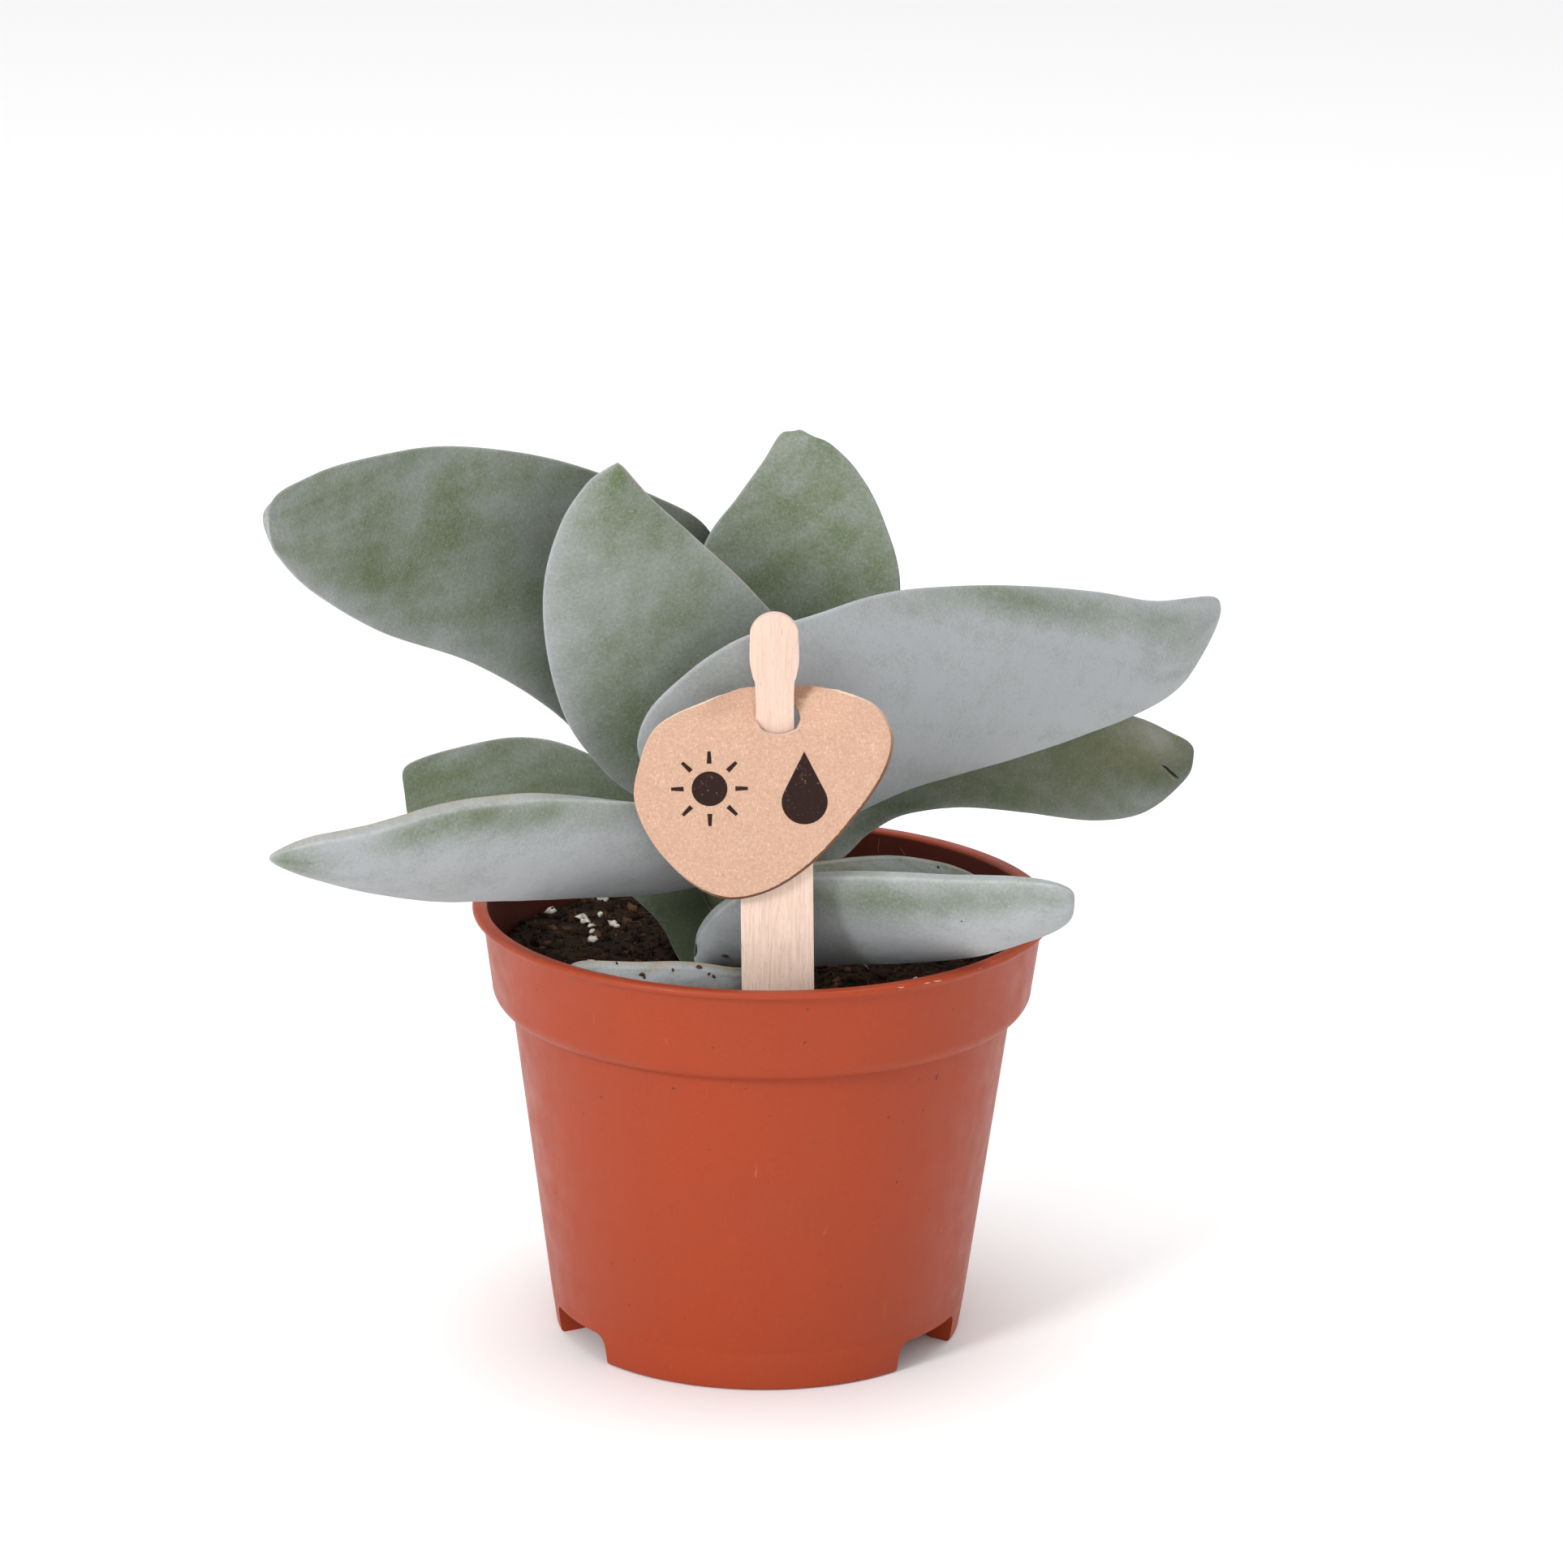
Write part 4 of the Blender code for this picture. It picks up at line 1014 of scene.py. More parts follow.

# %% [markdown]
# ## Where a leaf is green and where it is grey
# A white bloom of wax and tiny hairs covers the green flesh. The upper side of a leaf keeps less of it,
# so opposite leaves show the camera a green face or a grey one. It is rubbed thin in patches, and thick
# along the margins. Those differences follow each blade, so they are worked out for each point of the
# mesh and stored on it, and the shader only adds the fine grain.

# %% How each leaf looks
# front, back and facet: the share of bloom on each face and on the flat of the upper margin.
# upper, lower: how much more bloom lies along each margin. streak: how uneven it is. dark: how much painted
# shade lies over the whole leaf.
# drop: how far the front ridge of the upper margin lies below the back one, at the base and the tip.
# blunt: the squareness of the base and the tip. margin: how thick the margin is, in millimetres.
# ridge: how strong the painted highlight line is along the front of both margins. tan and low_tan: how
# strong the brown line is on the upper and on the lower margin. patches: (along, across, length, width,
# gain), where there is more or less bloom. shades and browned: the same, for painted shade and for brown.
# What a leaf doesn't give is as in USUAL_LOOK.
LOOKS = {
    "leaf_upper_left": dict(
        front=0.30, upper=0.12, lower=0.50, streak=0.13, drop=(-1.6, -1.6), margin=1.5,
        patches=(
            (0.61, 0.7, 0.06, 0.35, -0.03), (0.67, -0.1, 0.05, 0.35, -0.12), (0.58, 0.25, 0.05, 0.3, -0.28),
            (0.66, -0.45, 0.05, 0.25, -0.1), (0.41, -0.85, 0.05, 0.45, -0.12), (0.64, 0.35, 0.02, 0.6, 0.2),
            (0.55, -0.1, 0.025, 0.8, 0.1), (0.93, 0, 0.1, 1, 0.12),
        ),
        shades=((0.52, 0.1, 0.06, 0.5, 0.16), (0.2, 0.6, 0.13, 1.2, 0.8), (0.4, 0, 0.07, 1.2, 0.12)),
    ),
    "leaf_centre_left": dict(
        front=0.41, upper=0.45, lower=0.12, streak=0.08, drop=(0, -0.3), ridge=0.45, low_tan=0.4, margin=1.1,
        patches=(
            (0.3, 0.35, 0.1, 0.6, -0.26), (0.18, 0.2, 0.1, 0.8, -0.16), (0.45, -0.05, 0.12, 0.5, -0.08),
            (0.3, 0.9, 0.15, 0.3, 0.14), (0.62, 0.7, 0.15, 0.3, 0.06), (0.88, 0, 0.16, 0.9, -0.36),
        ),
    ),
    "leaf_centre_right": dict(
        front=0.20, upper=0.15, lower=0.20, drop=(-1.6, -1.6), tan=0.35,
        patches=((0.8, 0.3, 0.14, 0.9, 0.14), (0.48, 0, 0.12, 0.5, -0.06), (0.2, 0, 0.15, 1, -0.1)),
        shades=((0.38, 0.7, 0.2, 0.4, 0.15),),
    ),
    "leaf_upper_right": dict(
        front=0.97, streak=0.12, drop=(-2.6, -2.2), ridge=0.10, tan=0.35,
        patches=(
            (0.68, 0.8, 0.05, 0.3, -0.55), (0.76, 0.7, 0.05, 0.3, -0.45), (0.86, 0.65, 0.05, 0.3, -0.42),
            (0.6, 0.95, 0.06, 0.2, -0.38), (0.93, 0.1, 0.05, 0.6, -0.3), (0.3, 0.9, 0.06, 0.3, -0.22),
            (0.3, 0.3, 0.1, 0.6, -0.12), (0.85, 0.2, 0.06, 0.5, -0.16),
        ),
    ),
    "leaf_lower_right": dict(
        front=0.08, upper=0.10, lower=0.50, streak=0.14, drop=(-1.2, -1.0), blunt=(2, 3), dark=0.50,
        patches=(
            (0.8, 0.8, 0.1, 0.35, 0.4), (0.65, -0.3, 0.04, 0.3, -0.1), (0.14, -0.5, 0.1, 0.8, 0.45),
            (0.85, -0.7, 0.12, 0.4, 0.3),
        ),
        shades=(
            (0.8, 0.8, 0.12, 0.4, -0.22), (0.14, -0.6, 0.1, 0.8, -0.3), (0.35, -1, 0.25, 0.14, -0.35),
            (0.85, -0.7, 0.12, 0.4, -0.2),
        ),
        browned=((0.62, 0, 0.22, 0.9, 0.08), (0.82, 0.6, 0.14, 0.6, 0.18)),
    ),
    "leaf_lower_left": dict(
        front=0.14, upper=0.22, lower=0.30, streak=0.12, drop=(-0.8, -0.8), blunt=(4, 5), dark=0.32,
        ridge=0.45,
        patches=((0.83, 0.75, 0.08, 0.3, 0.2), (0.92, 0, 0.05, 0.6, -0.06), (0.1, 0, 0.2, 1.6, -0.6)),
        shades=((0.1, 0.2, 0.2, 1.6, 0.45), (0.62, 0, 0.18, 1.2, 0.14)),
    ),
    "leaf_front_left": dict(
        front=0.98, facet=0.82, drop=(-2.5, 0.4), ridge=0.45, tan=0.35,
        patches=(
            (0.54, 0.8, 0.1, 0.35, -0.58), (0.69, 0.65, 0.06, 0.35, -0.46), (0.4, 0.85, 0.1, 0.3, -0.34),
            (0.94, 0, 0.08, 1, -0.66), (0.25, 0.9, 0.1, 0.3, -0.22), (0.62, 0.85, 0.1, 0.25, -0.25),
        ),
        shades=((0.58, 0.8, 0.18, 0.35, 0.06), (0.95, 0, 0.06, 1, 0.1)),
    ),
    "leaf_front_right": dict(
        front=0.96, facet=0.78, drop=(-0.4, -0.2), blunt=(3, 3.2), ridge=0.40,
        patches=(
            (0.82, 0.62, 0.1, 0.34, -0.5), (0.6, 0.62, 0.14, 0.34, -0.5), (0.7, 0.66, 0.06, 0.3, -0.16),
            (0.94, 0.5, 0.04, 0.4, -0.22), (0.45, 0.72, 0.11, 0.3, -0.34), (0.33, 0.85, 0.08, 0.25, -0.2),
        ),
        shades=((0.65, 0.62, 0.24, 0.34, 0.1),),
    ),
    "leaf_inner_right": dict(
        front=0.55, upper=0.10, lower=0.10, streak=0.20, drop=(0, 0), margin=1.6, tan=0.9,
        patches=((0.45, 0.6, 0.12, 0.8, -0.2),),
        browned=((0.4, 0.4, 0.12, 0.8, 0.3),),
    ),
    "leaf_soil_front": dict(
        front=0.82, facet=0.78, streak=0.26, drop=(0.5, 0.5), ridge=0.10, margin=1.8, tan=0.8,
        patches=((0.45, -0.1, 0.15, 0.5, -0.35), (0.75, 0.1, 0.1, 0.5, -0.3), (0.25, -0.1, 0.12, 0.5, -0.3)),
        browned=((0.52, 0.95, 0.05, 0.2, 0.25),),
    ),
}
USUAL_LOOK = dict(
    back=0.55, facet=None, upper=0.0, lower=0.0, streak=0.10, dark=0.0, blunt=(2, 2), margin=2.6,
    ridge=0.14, tan=0.0, low_tan=0.0, patches=(), shades=(), browned=(),
)

# %% The bloom at a point
STREAK_SPACING = 11.0
STREAK_SLANT = (2.2, 1.1)
STREAK_GAIN = 1.6
FINE_STREAKS = 2.7
MARGIN_REACH = 0.14


def patch_sum(patches, along, across):
    """The gains of all the patches at a point of the blade."""
    total = 0.0
    for place, reach, length, width, gain in patches:
        total += gain * math.exp(-((along - place) / length) ** 2 - ((across - reach) / width) ** 2)
    return total


def bloom_at(look, along, across, face, seed):
    """The share of wax bloom at a point of the blade, from 0, bare green flesh, to 1."""
    share = look[face] if look[face] is not None else look["front"] + look["upper"]
    slant, width = STREAK_SLANT
    slanted = Vector((along * STREAK_SPACING + across * slant, across * width, seed))
    share += look["streak"] * noise.noise(slanted) * STREAK_GAIN
    share += look["streak"] * noise.noise(slanted * FINE_STREAKS + Vector((7, 3, 1)))
    if face == "front":
        gain = look["upper"] if across > 0 else look["lower"]
        share += gain * math.exp((abs(across) - 1) / MARGIN_REACH)
        share += patch_sum(look["patches"], along, across)
    return min(max(share, 0.0), 1.0)


# %% The blade's section and its smooth margins
MIDDLE_THICKNESS = 4.4
MARGIN_ROUNDING = 0.55
LOWER_DROP = 0.9
MOST_DROP = 0.4
CROWN = 2.2
FACET_SHARES = (0.15, 0.45, 0.75)
TIP_THINNING = 0.5
TIP_THINNING_START = 0.8
FACE_POINTS = 34
RINGS_PER_SPAN = 9
END_RINGS = 10
CLASP = 3.0
EDGE_LINE = 0.30


def spline_point(points, span, part):
    """A point of the smooth curve through the points, a part of the way along a span."""
    before = points[max(span - 1, 0)]
    start = points[span]
    end = points[span + 1]
    after = points[min(span + 2, len(points) - 1)]
    square = part * part
    cube = square * part
    return 0.5 * (
        2 * start
        + (end - before) * part
        + (2 * before - 5 * start + 4 * end - after) * square
        + (3 * start - before - 3 * end + after) * cube
    )


def blade_face(top, bottom, edge, middle, side):
    """Points down one face of the section, closer together near its margins."""
    points = []
    for index in range(FACE_POINTS + 1):
        place = math.cos(math.pi * index / FACE_POINTS)
        reach = (top + bottom) / 2 + (top - bottom) / 2 * place
        points.append((reach, side * (edge + (middle - edge) * (1 - abs(place) ** CROWN))))
    return points if side > 0 else points[::-1]


def blade_section(half, closing, drop, thinning, margin):
    """The section as (face, reach, depth): down the front, round the lower margin and up the back."""
    edge = margin / 2 * closing * thinning
    middle = MIDDLE_THICKNESS / 2 * closing * thinning
    rounding = min(MARGIN_ROUNDING * closing * thinning, half * 0.3, edge * 0.8)
    front_drop = min(max(drop, 0) * closing, half * MOST_DROP)
    back_drop = min(max(-drop, 0) * closing, half * MOST_DROP)
    low_drop = min(LOWER_DROP * closing, half * MOST_DROP)
    inset = edge - rounding
    front_top = half - front_drop - rounding
    back_top = half - back_drop - rounding
    front_low = rounding - half
    back_low = front_low + low_drop
    section = [("front", *point) for point in blade_face(front_top, front_low, edge, middle, 1)]
    section += [("front", *point) for point in arc((front_low, inset), rounding, 120, 180, 2)]
    section += [("back", *point) for point in arc((back_low, -inset), rounding, 200, 250, 2)]
    section += [("back", *point) for point in blade_face(back_top, back_low, edge, middle, -1)]
    section += [("facet", *point) for point in arc((back_top, -inset), rounding, -60, 10, 3)]
    start = Vector((back_top + rounding, -inset))
    end = Vector((front_top + rounding, inset))
    for share in FACET_SHARES:
        point = start.lerp(end, share)
        section.append(("facet", point.x, point.y))
    section += [("front", *point) for point in arc((front_top, inset), rounding, 10, 60, 2)]
    return section


def ring_places(spans, blunt):
    """Where the rings lie: span, part of it, and how far the end's rounding has closed there."""
    turns = [math.pi / 2 * step / END_RINGS for step in range(1, END_RINGS)]
    places = []
    for turn in reversed(turns):
        out = math.sin(turn)
        places.append((0, 1 - out, (1 - out ** blunt[0]) ** (1 / blunt[0])))
    for span in range(1, spans - 1):
        places += [(span, step / RINGS_PER_SPAN, 1.0) for step in range(RINGS_PER_SPAN)]
    places.append((spans - 1, 0.0, 1.0))
    for turn in turns:
        out = math.sin(turn)
        places.append((spans - 1, out, (1 - out ** blunt[1]) ** (1 / blunt[1])))
    return places


def eased(value, start, end):
    """A smooth step from 0 at the start to 1 at the end."""
    part = min(max((value - start) / (end - start), 0), 1)
    return part * part * (3 - 2 * part)


# %% What is stored on a blade, and its end caps
def stored_numbers(look, along, half, ridge, face, reach, depth, seed):
    """The bloom, the painted edge highlight, the brown edge and the painted shade at a point of the blade.
    """
    across = reach / half
    ridge_gap = min(abs(ridge - reach), half + reach) if face == "front" else EDGE_LINE
    top_tan = look["tan"] * max(1 - abs(half - reach) / (2 * EDGE_LINE), 0) if depth < 0 else 0
    low_tan = look["low_tan"] * max(1 - abs(half + reach) / (2 * EDGE_LINE), 0)
    # The painted shade: the leaf's own share and its shaded patches.
    shade = look["dark"] + patch_sum(look["shades"], along, across)
    return {
        "bloom": bloom_at(look, along, across, face, seed),
        # edge: a thin pale line painted along the front ridge of each margin, as a highlight.
        "edge": look["ridge"] * max(1 - ridge_gap / EDGE_LINE, 0),
        "tan": max(top_tan, low_tan, patch_sum(look["browned"], along, across)),
        "dark": min(max(shade, 0.0), 1.0),
    }


def close_end(work, ring, end, layers):
    """Closes a blade at one end with a fan of faces round a pole."""
    pole = work.verts.new(end * MM)
    for layer in layers.values():
        pole[layer] = ring[FACE_POINTS // 2][layer]
    for index, vertex in enumerate(ring):
        work.faces.new((vertex, ring[(index + 1) % len(ring)], pole))


# %% Lofting one leaf
WAVE_SIZE = 13.0
WAVE_DEPTH = 0.35
DIMPLE_SIZE = 3.0
DIMPLE_DEPTH = 0.07
LOOK_AHEAD = 0.05
DROP_CHANGE = (0.1, 0.55)


def make_leaf(name, seed):
    """A blade lofted between its margins, with its bloom, its painted edge highlight, its brown edges and
    its painted shade stored on it.
    """
    side, cupping, stations = LEAVES[name]
    look = {**USUAL_LOOK, **LOOKS[name]}
    upper = [Vector(pair[0]) for pair in stations]
    lower = [Vector(pair[1]) for pair in stations]
    spans = len(stations) - 1
    middle = spans // 2
    heading = upper[middle + 1] + lower[middle + 1] - upper[middle] - lower[middle]
    facing = 1 if heading.cross(upper[middle] - lower[middle]).y < 0 else -1
    shift = Vector((seed, 0, 0))
    work = bmesh.new()
    layers = {key: work.verts.layers.float.new(key) for key in ("bloom", "edge", "tan", "dark")}
    rings = []
    for span, part, closing in ring_places(spans, look["blunt"]):
        along = (span + part) / spans
        high = spline_point(upper, span, part)
        low = spline_point(lower, span, part)
        ahead = [spline_point(row, span, min(part + LOOK_AHEAD, 1)) for row in (upper, lower)]
        behind = [spline_point(row, span, max(part - LOOK_AHEAD, 0)) for row in (upper, lower)]
        across = (high - low).normalized()
        outwards = (sum(ahead, Vector()) - sum(behind, Vector())).cross(across).normalized()
        front = outwards * facing
        half = (high - low).length / 2 * closing
        drop = look["drop"][0] + (look["drop"][1] - look["drop"][0]) * eased(along, *DROP_CHANGE)
        thinning = 1 - TIP_THINNING * eased(along, TIP_THINNING_START, 1.0)
        ridge = half - max(drop, 0) * closing
        ring = []
        for face, reach, depth in blade_section(half, closing, drop, thinning, look["margin"]):
            cup = side * cupping * half * (1 - (reach / half) ** 2)
            place = (high + low) / 2 + across * reach + outwards * cup + front * depth
            wave = WAVE_DEPTH * noise.noise(place / WAVE_SIZE + shift)
            wave += DIMPLE_DEPTH * noise.noise(place / DIMPLE_SIZE + shift)
            vertex = work.verts.new((place + front * wave * closing * closing) * MM)
            numbers = stored_numbers(look, along, half, ridge, face, reach, depth, seed)
            for key, value in numbers.items():
                vertex[layers[key]] = value
            ring.append(vertex)
        rings.append(ring)
    for first, second in zip(rings, rings[1:]):
        for index in range(len(first)):
            following = (index + 1) % len(first)
            work.faces.new((first[index], first[following], second[following], second[index]))
    base = (upper[0] + lower[0]) / 2
    inwards = STEM_CENTRE - Vector((base.x, base.y, 0))
    close_end(work, rings[0], base + inwards.normalized() * min(CLASP, inwards.length), layers)
    close_end(work, rings[-1], (upper[-1] + lower[-1]) / 2, layers)
    return piece(f"{name}_blade", plain_mesh(name, work))


# %% [markdown]
# ## The leaf's finish
# The colour runs from green flesh to lilac-grey wax by the stored bloom. Close up the skin is a felt of
# tiny pale dots, which a noise a third of a millimetre across gives, and a thin pale line is painted along
# every edge as a highlight, where the wax is thickest and the hairs catch the light, and a little sheen
# gives the same glow at glancing angles. A stored share of painted shade darkens the leaves where others
# shade them.

# %% Waxy leaf skin
LEAF_GREEN = (0.105, 0.140, 0.068)
LEAF_GREY = (0.340, 0.355, 0.368)
LEAF_PAINTED_SHADE = (0.014, 0.019, 0.008)
LEAF_PALE_HAIR_AND_HIGHLIGHT = (0.47, 0.475, 0.455)
LEAF_TAN = (0.34, 0.25, 0.14)


def leaf_finish():
    skin = Finish("waxy_leaf_skin", 0.7, Sheen_Weight=0.08, Sheen_Roughness=0.5, Specular_IOR_Level=0.3)
    cloud = skin.rescale(skin.mottle(4.5, 4.0), 0.25, 0.75, -0.12, 0.12)
    grain = skin.rescale(skin.mottle(0.6, 2.0, 0.7), 0.25, 0.75, -0.17, 0.17)
    share = skin.combine("ADD", skin.reading("bloom"), skin.combine("ADD", cloud, grain))
    colour = skin.over(LEAF_GREEN, LEAF_GREY, share, 0.0, 1.0)
    colour = skin.over(colour, LEAF_PALE_HAIR_AND_HIGHLIGHT, skin.mottle(0.45, 0.0), 0.62, 0.76, 0.14)
    # Painted shade: the colour is mixed towards a dark green by the stored dark share, where other leaves
    # shade this one.
    colour = skin.mix(skin.reading("dark"), colour, LEAF_PAINTED_SHADE)
    broken = skin.rescale(skin.mottle(2.2, 2.0), 0.30, 0.62, 0.35, 1.0)
    # The edge line is a painted highlight; the tan line is real browning of the margin.
    for line, tone in (("edge", LEAF_PALE_HAIR_AND_HIGHLIGHT), ("tan", LEAF_TAN)):
        colour = skin.mix(skin.combine("MULTIPLY", skin.reading(line), broken), colour, tone)
    return skin.painted(colour, (skin.mottle(0.45, 2.0, 0.7), 0.05), (skin.mottle(2.6), 0.10))


# %% All ten leaves
LEAF_SEED_STEP = 5.3
leaf_skin = leaf_finish()
blades = {name: make_leaf(name, number * LEAF_SEED_STEP) for number, name in enumerate(LEAVES)}
for name, blade in blades.items():
    belongs(blade, "leaf_skin", name, finish=leaf_skin)

# %% [markdown]
# ## Crumbs on the leaves
# Watering and handling leave peat on the lowest leaves. Each bit is seated by the pixel where the
# photograph shows it, on the leaf behind that pixel.

# %% Peat on the leaf over the front rim, and specks on the others
LITTER = {
    "leaf_soil_front": (
        (760, 1187, 0.32), (791, 1201, 0.50), (794, 1204, 0.35), (829, 1195, 0.32), (861, 1192, 0.52),
        (873, 1200, 0.32), (879, 1203, 0.38),
    ),
    "leaf_inner_right": ((1156, 1069, 0.30),),
    "leaf_front_right": ((1185, 1135, 0.16), (893, 1177, 0.50)),
}
litter_seats = []
litter_sizes = []
for name, bits in LITTER.items():
    surface = surface_of(blades[name])
    litter_seats += [seat(surface, bit[:2]) for bit in bits]
    litter_sizes += [bit[2] for bit in bits]
belongs(strew("leaf_litter", litter_seats, litter_sizes, 0.5, 41), "peat", finish=bark)

# %% [markdown]
# ## A crack, hairs and scratches
# The old leaf on the right has split at its tip, root hairs cling to the pot's inner wall, and the lip
# has a few pale scratches. Each is a hair-thin thread that follows the surface behind its pixels.

# %% Threads along a surface: finish, place and its pixels, thickness in millimetres
HAIR_PALE = (0.30, 0.22, 0.16)
CRACK_DARK = (0.012, 0.008, 0.004)
SCRATCH_PALE = (0.72, 0.50, 0.42)
THREADS = {
    "tip_crack": (CRACK_DARK, blades["leaf_lower_right"], (
        (0.22, ((1432, 943), (1437, 946), (1442, 951), (1447, 955), (1452, 959))),
    )),
    "crack_rim": (LEAF_TAN, blades["leaf_lower_right"], (
        (0.14, ((1440, 954), (1445, 959), (1450, 963))),
    )),
    "wall_hairs": (HAIR_PALE, pot, (
        (0.06, ((1083, 1033), (1083, 1039), (1082, 1046), (1083, 1051))),
        (0.06, ((1109, 1044), (1112, 1049), (1116, 1054))),
    )),
    "soil_hairs": (HAIR_PALE, soil, (
        (0.16, ((1062, 1186), (1065, 1189), (1068, 1191), (1070, 1195))),
        (0.10, ((1092, 1185), (1098, 1188), (1104, 1187))),
        (0.10, ((779, 1166), (783, 1161), (786, 1159))),
    )),
    "lip_scratches": (SCRATCH_PALE, pot, (
        (0.09, ((1139, 1212), (1143, 1211), (1146, 1211))),
        (0.10, ((1151, 1209), (1155, 1209), (1160, 1208))),
        (0.08, ((1106, 1216), (1110, 1217), (1114, 1216))),
        (0.08, ((1206, 1193), (1209, 1193))),
    )),
}


# %% Threads that follow the ground
THREAD_END = 0.4
THREAD_SHADE = 0.6


def thread_finish(name, colour):
    thread = Finish(name, 0.8, Specular_IOR_Level=0.2)
    darker = tuple(part * THREAD_SHADE for part in colour)
    return thread.painted(thread.over(colour, darker, thread.mottle(0.5, 2.0), 0.3, 0.7))


def threads(name, ground, lines):
    """Thin threads with tapered ends, half sunk in the ground, as one mesh."""
    curve = bpy.data.curves.new(name, "CURVE")
    curve.dimensions = "3D"
    curve.bevel_depth = MM
    curve.bevel_resolution = 1
    curve.use_fill_caps = True
    surface = surface_of(ground)
    for thickness, pixels in lines:
        spline = curve.splines.new("POLY")
        spline.points.add(len(pixels) - 1)
        for index, (point, pixel) in enumerate(zip(spline.points, pixels)):
            point.co = (*seat(surface, pixel)[0], 1)
            inside = 0 < index < len(pixels) - 1
            point.radius = thickness * (1.0 if inside else THREAD_END)
    return flattened(piece(name, curve))


for name, (colour, ground, lines) in THREADS.items():
    slot = {"pot_shell": "pot_shell", "soil_body": "peat"}.get(ground.name, "leaf_skin")
    belongs(threads(name, ground, lines), slot, finish=thread_finish(name, colour))

# %% [markdown]
# ## The label stick
# The stick is a flat lath of birch, stamped out with a narrow neck and a rounded head. A flat outline
# filled as a 2D curve and extruded by half its thickness each way gives the blank, and a fine bevel the
# sanded edges.

# %% Stick sizes, in millimetres
STICK_WIDTH = 12.7
STICK_THICKNESS = 1.8
STICK_PLACE = Vector((3.0, -37.0, 0.0))
STICK_LEAN = math.radians(-1.3)
STICK_BOTTOM = 30.0
STICK_POINT_HEIGHT = 14.0
STICK_POINT_WIDTH = 3.0
STICK_SHOULDER = 112.0
STICK_CORNER = 0.8
NECK_WIDTH = 6.7
NECK_BOTTOM = 117.0
NECK_TOP = 130.5
HEAD_WIDTH = 8.5
HEAD_WIDEST = 138.0
HEAD_CENTRE = 140.0
HEAD_TOP = 144.3
STICK_BEVEL = 0.22
STICK_BEVEL_ANGLE = 50
STICK_SHARP_ANGLE = 32


# %% Flat pieces that stand upright
def flat_piece(name, outlines, thickness):
    """A flat curve filled between its outlines, as a mesh standing in the XZ plane."""
    curve = bpy.data.curves.new(name, "CURVE")
    curve.dimensions = "2D"
    curve.fill_mode = "BOTH"
    curve.extrude = thickness / 2 * MM
    for outline in outlines:
        spline = curve.splines.new("POLY")
        spline.points.add(len(outline) - 1)
        spline.use_cyclic_u = True
        for point, (x, z) in zip(spline.points, outline):
            point.co = (x * MM, z * MM, 0, 1)
    made = piece(name, curve)
    made.rotation_euler = Euler((math.radians(90), 0, 0))
    made = flattened(made)
    with editing(made.data) as work:
        bmesh.ops.remove_doubles(work, verts=work.verts, dist=1e-5)
    return made


def bevelled(made, width, degrees, material=-1):
    """A piece with a fine bevel on the edges that turn by more than an angle."""
    bevel = made.modifiers.new("fine_edges", "BEVEL")
    bevel.width = width * MM
    bevel.segments = 2
    bevel.limit_method = "ANGLE"
    bevel.angle_limit = math.radians(degrees)
    bevel.material = material
    return flattened(made)


def lean_with_stick(made):
    """Stands a piece at the stick's place and leans it about the point where it enters the soil."""
    turn = Euler((0, STICK_LEAN, 0)).to_matrix()
    pivot = Vector((0, 0, SOIL_TOP * MM))
    made.data.transform(Matrix.Translation(STICK_PLACE * MM + pivot - turn @ pivot) @ turn.to_4x4())


def smooth_outline(points, steps, closed=True):
    """A smooth curve through the points, with so many steps between two of them."""
    vectors = [Vector((x, z)) for x, z in points]
    count = len(vectors)
    outline = []
    for index in range(count if closed else count - 1):
        if closed:
            four = [vectors[(index + offset) % count] for offset in (-1, 0, 1, 2)]
            row = [spline_point(four, 1, step / steps) for step in range(steps)]
        else:
            row = [spline_point(vectors, index, step / steps) for step in range(steps)]
        outline += [(point.x, point.y) for point in row]
    return outline


# %% The stick
def stick_outline():
    """Point, sides, shoulders, neck and rounded head."""
    half = STICK_WIDTH / 2
    neck = NECK_WIDTH / 2
    head = HEAD_WIDTH / 2
    upper = [
        (half, STICK_SHOULDER),
        (half - STICK_CORNER, STICK_SHOULDER + 2 * STICK_CORNER),
        (neck + STICK_CORNER, NECK_BOTTOM - 2 * STICK_CORNER),
        (neck, NECK_BOTTOM),
        (neck, NECK_TOP),
        (neck + STICK_CORNER / 2, NECK_TOP + 3 * STICK_CORNER),
        (head, HEAD_WIDEST - 3 * STICK_CORNER),
        (head, HEAD_WIDEST + STICK_CORNER),
    ]
    right = [(STICK_POINT_WIDTH / 2, STICK_BOTTOM), (half, STICK_BOTTOM + STICK_POINT_HEIGHT)]
    right += smooth_outline(upper, 4, closed=False)
    right += arc((0, HEAD_CENTRE), HEAD_TOP - HEAD_CENTRE, 15, 90, 12)
    left = [(-x, z) for x, z in reversed(right[:-1])]
    return right + left


def make_stick():
    stick = flat_piece("birch_stick", [stick_outline()], STICK_THICKNESS)
    stick = bevelled(stick, STICK_BEVEL, STICK_BEVEL_ANGLE)
    lean_with_stick(stick)
    shaded(stick, STICK_SHARP_ANGLE)
    return stick


# %% Birch, with painted light: paler low down and darker towards the head
BIRCH_PALE = (0.80, 0.62, 0.52)
BIRCH_HEAD_SHADE = (0.66, 0.495, 0.415)
BIRCH_SHADE_START = 0.085
BIRCH_SHADE_END = 0.125
BIRCH_VEIN = (0.56, 0.375, 0.28)
BIRCH_FIGURE = (0.68, 0.47, 0.35)
BIRCH_FLECK = (0.42, 0.26, 0.17)


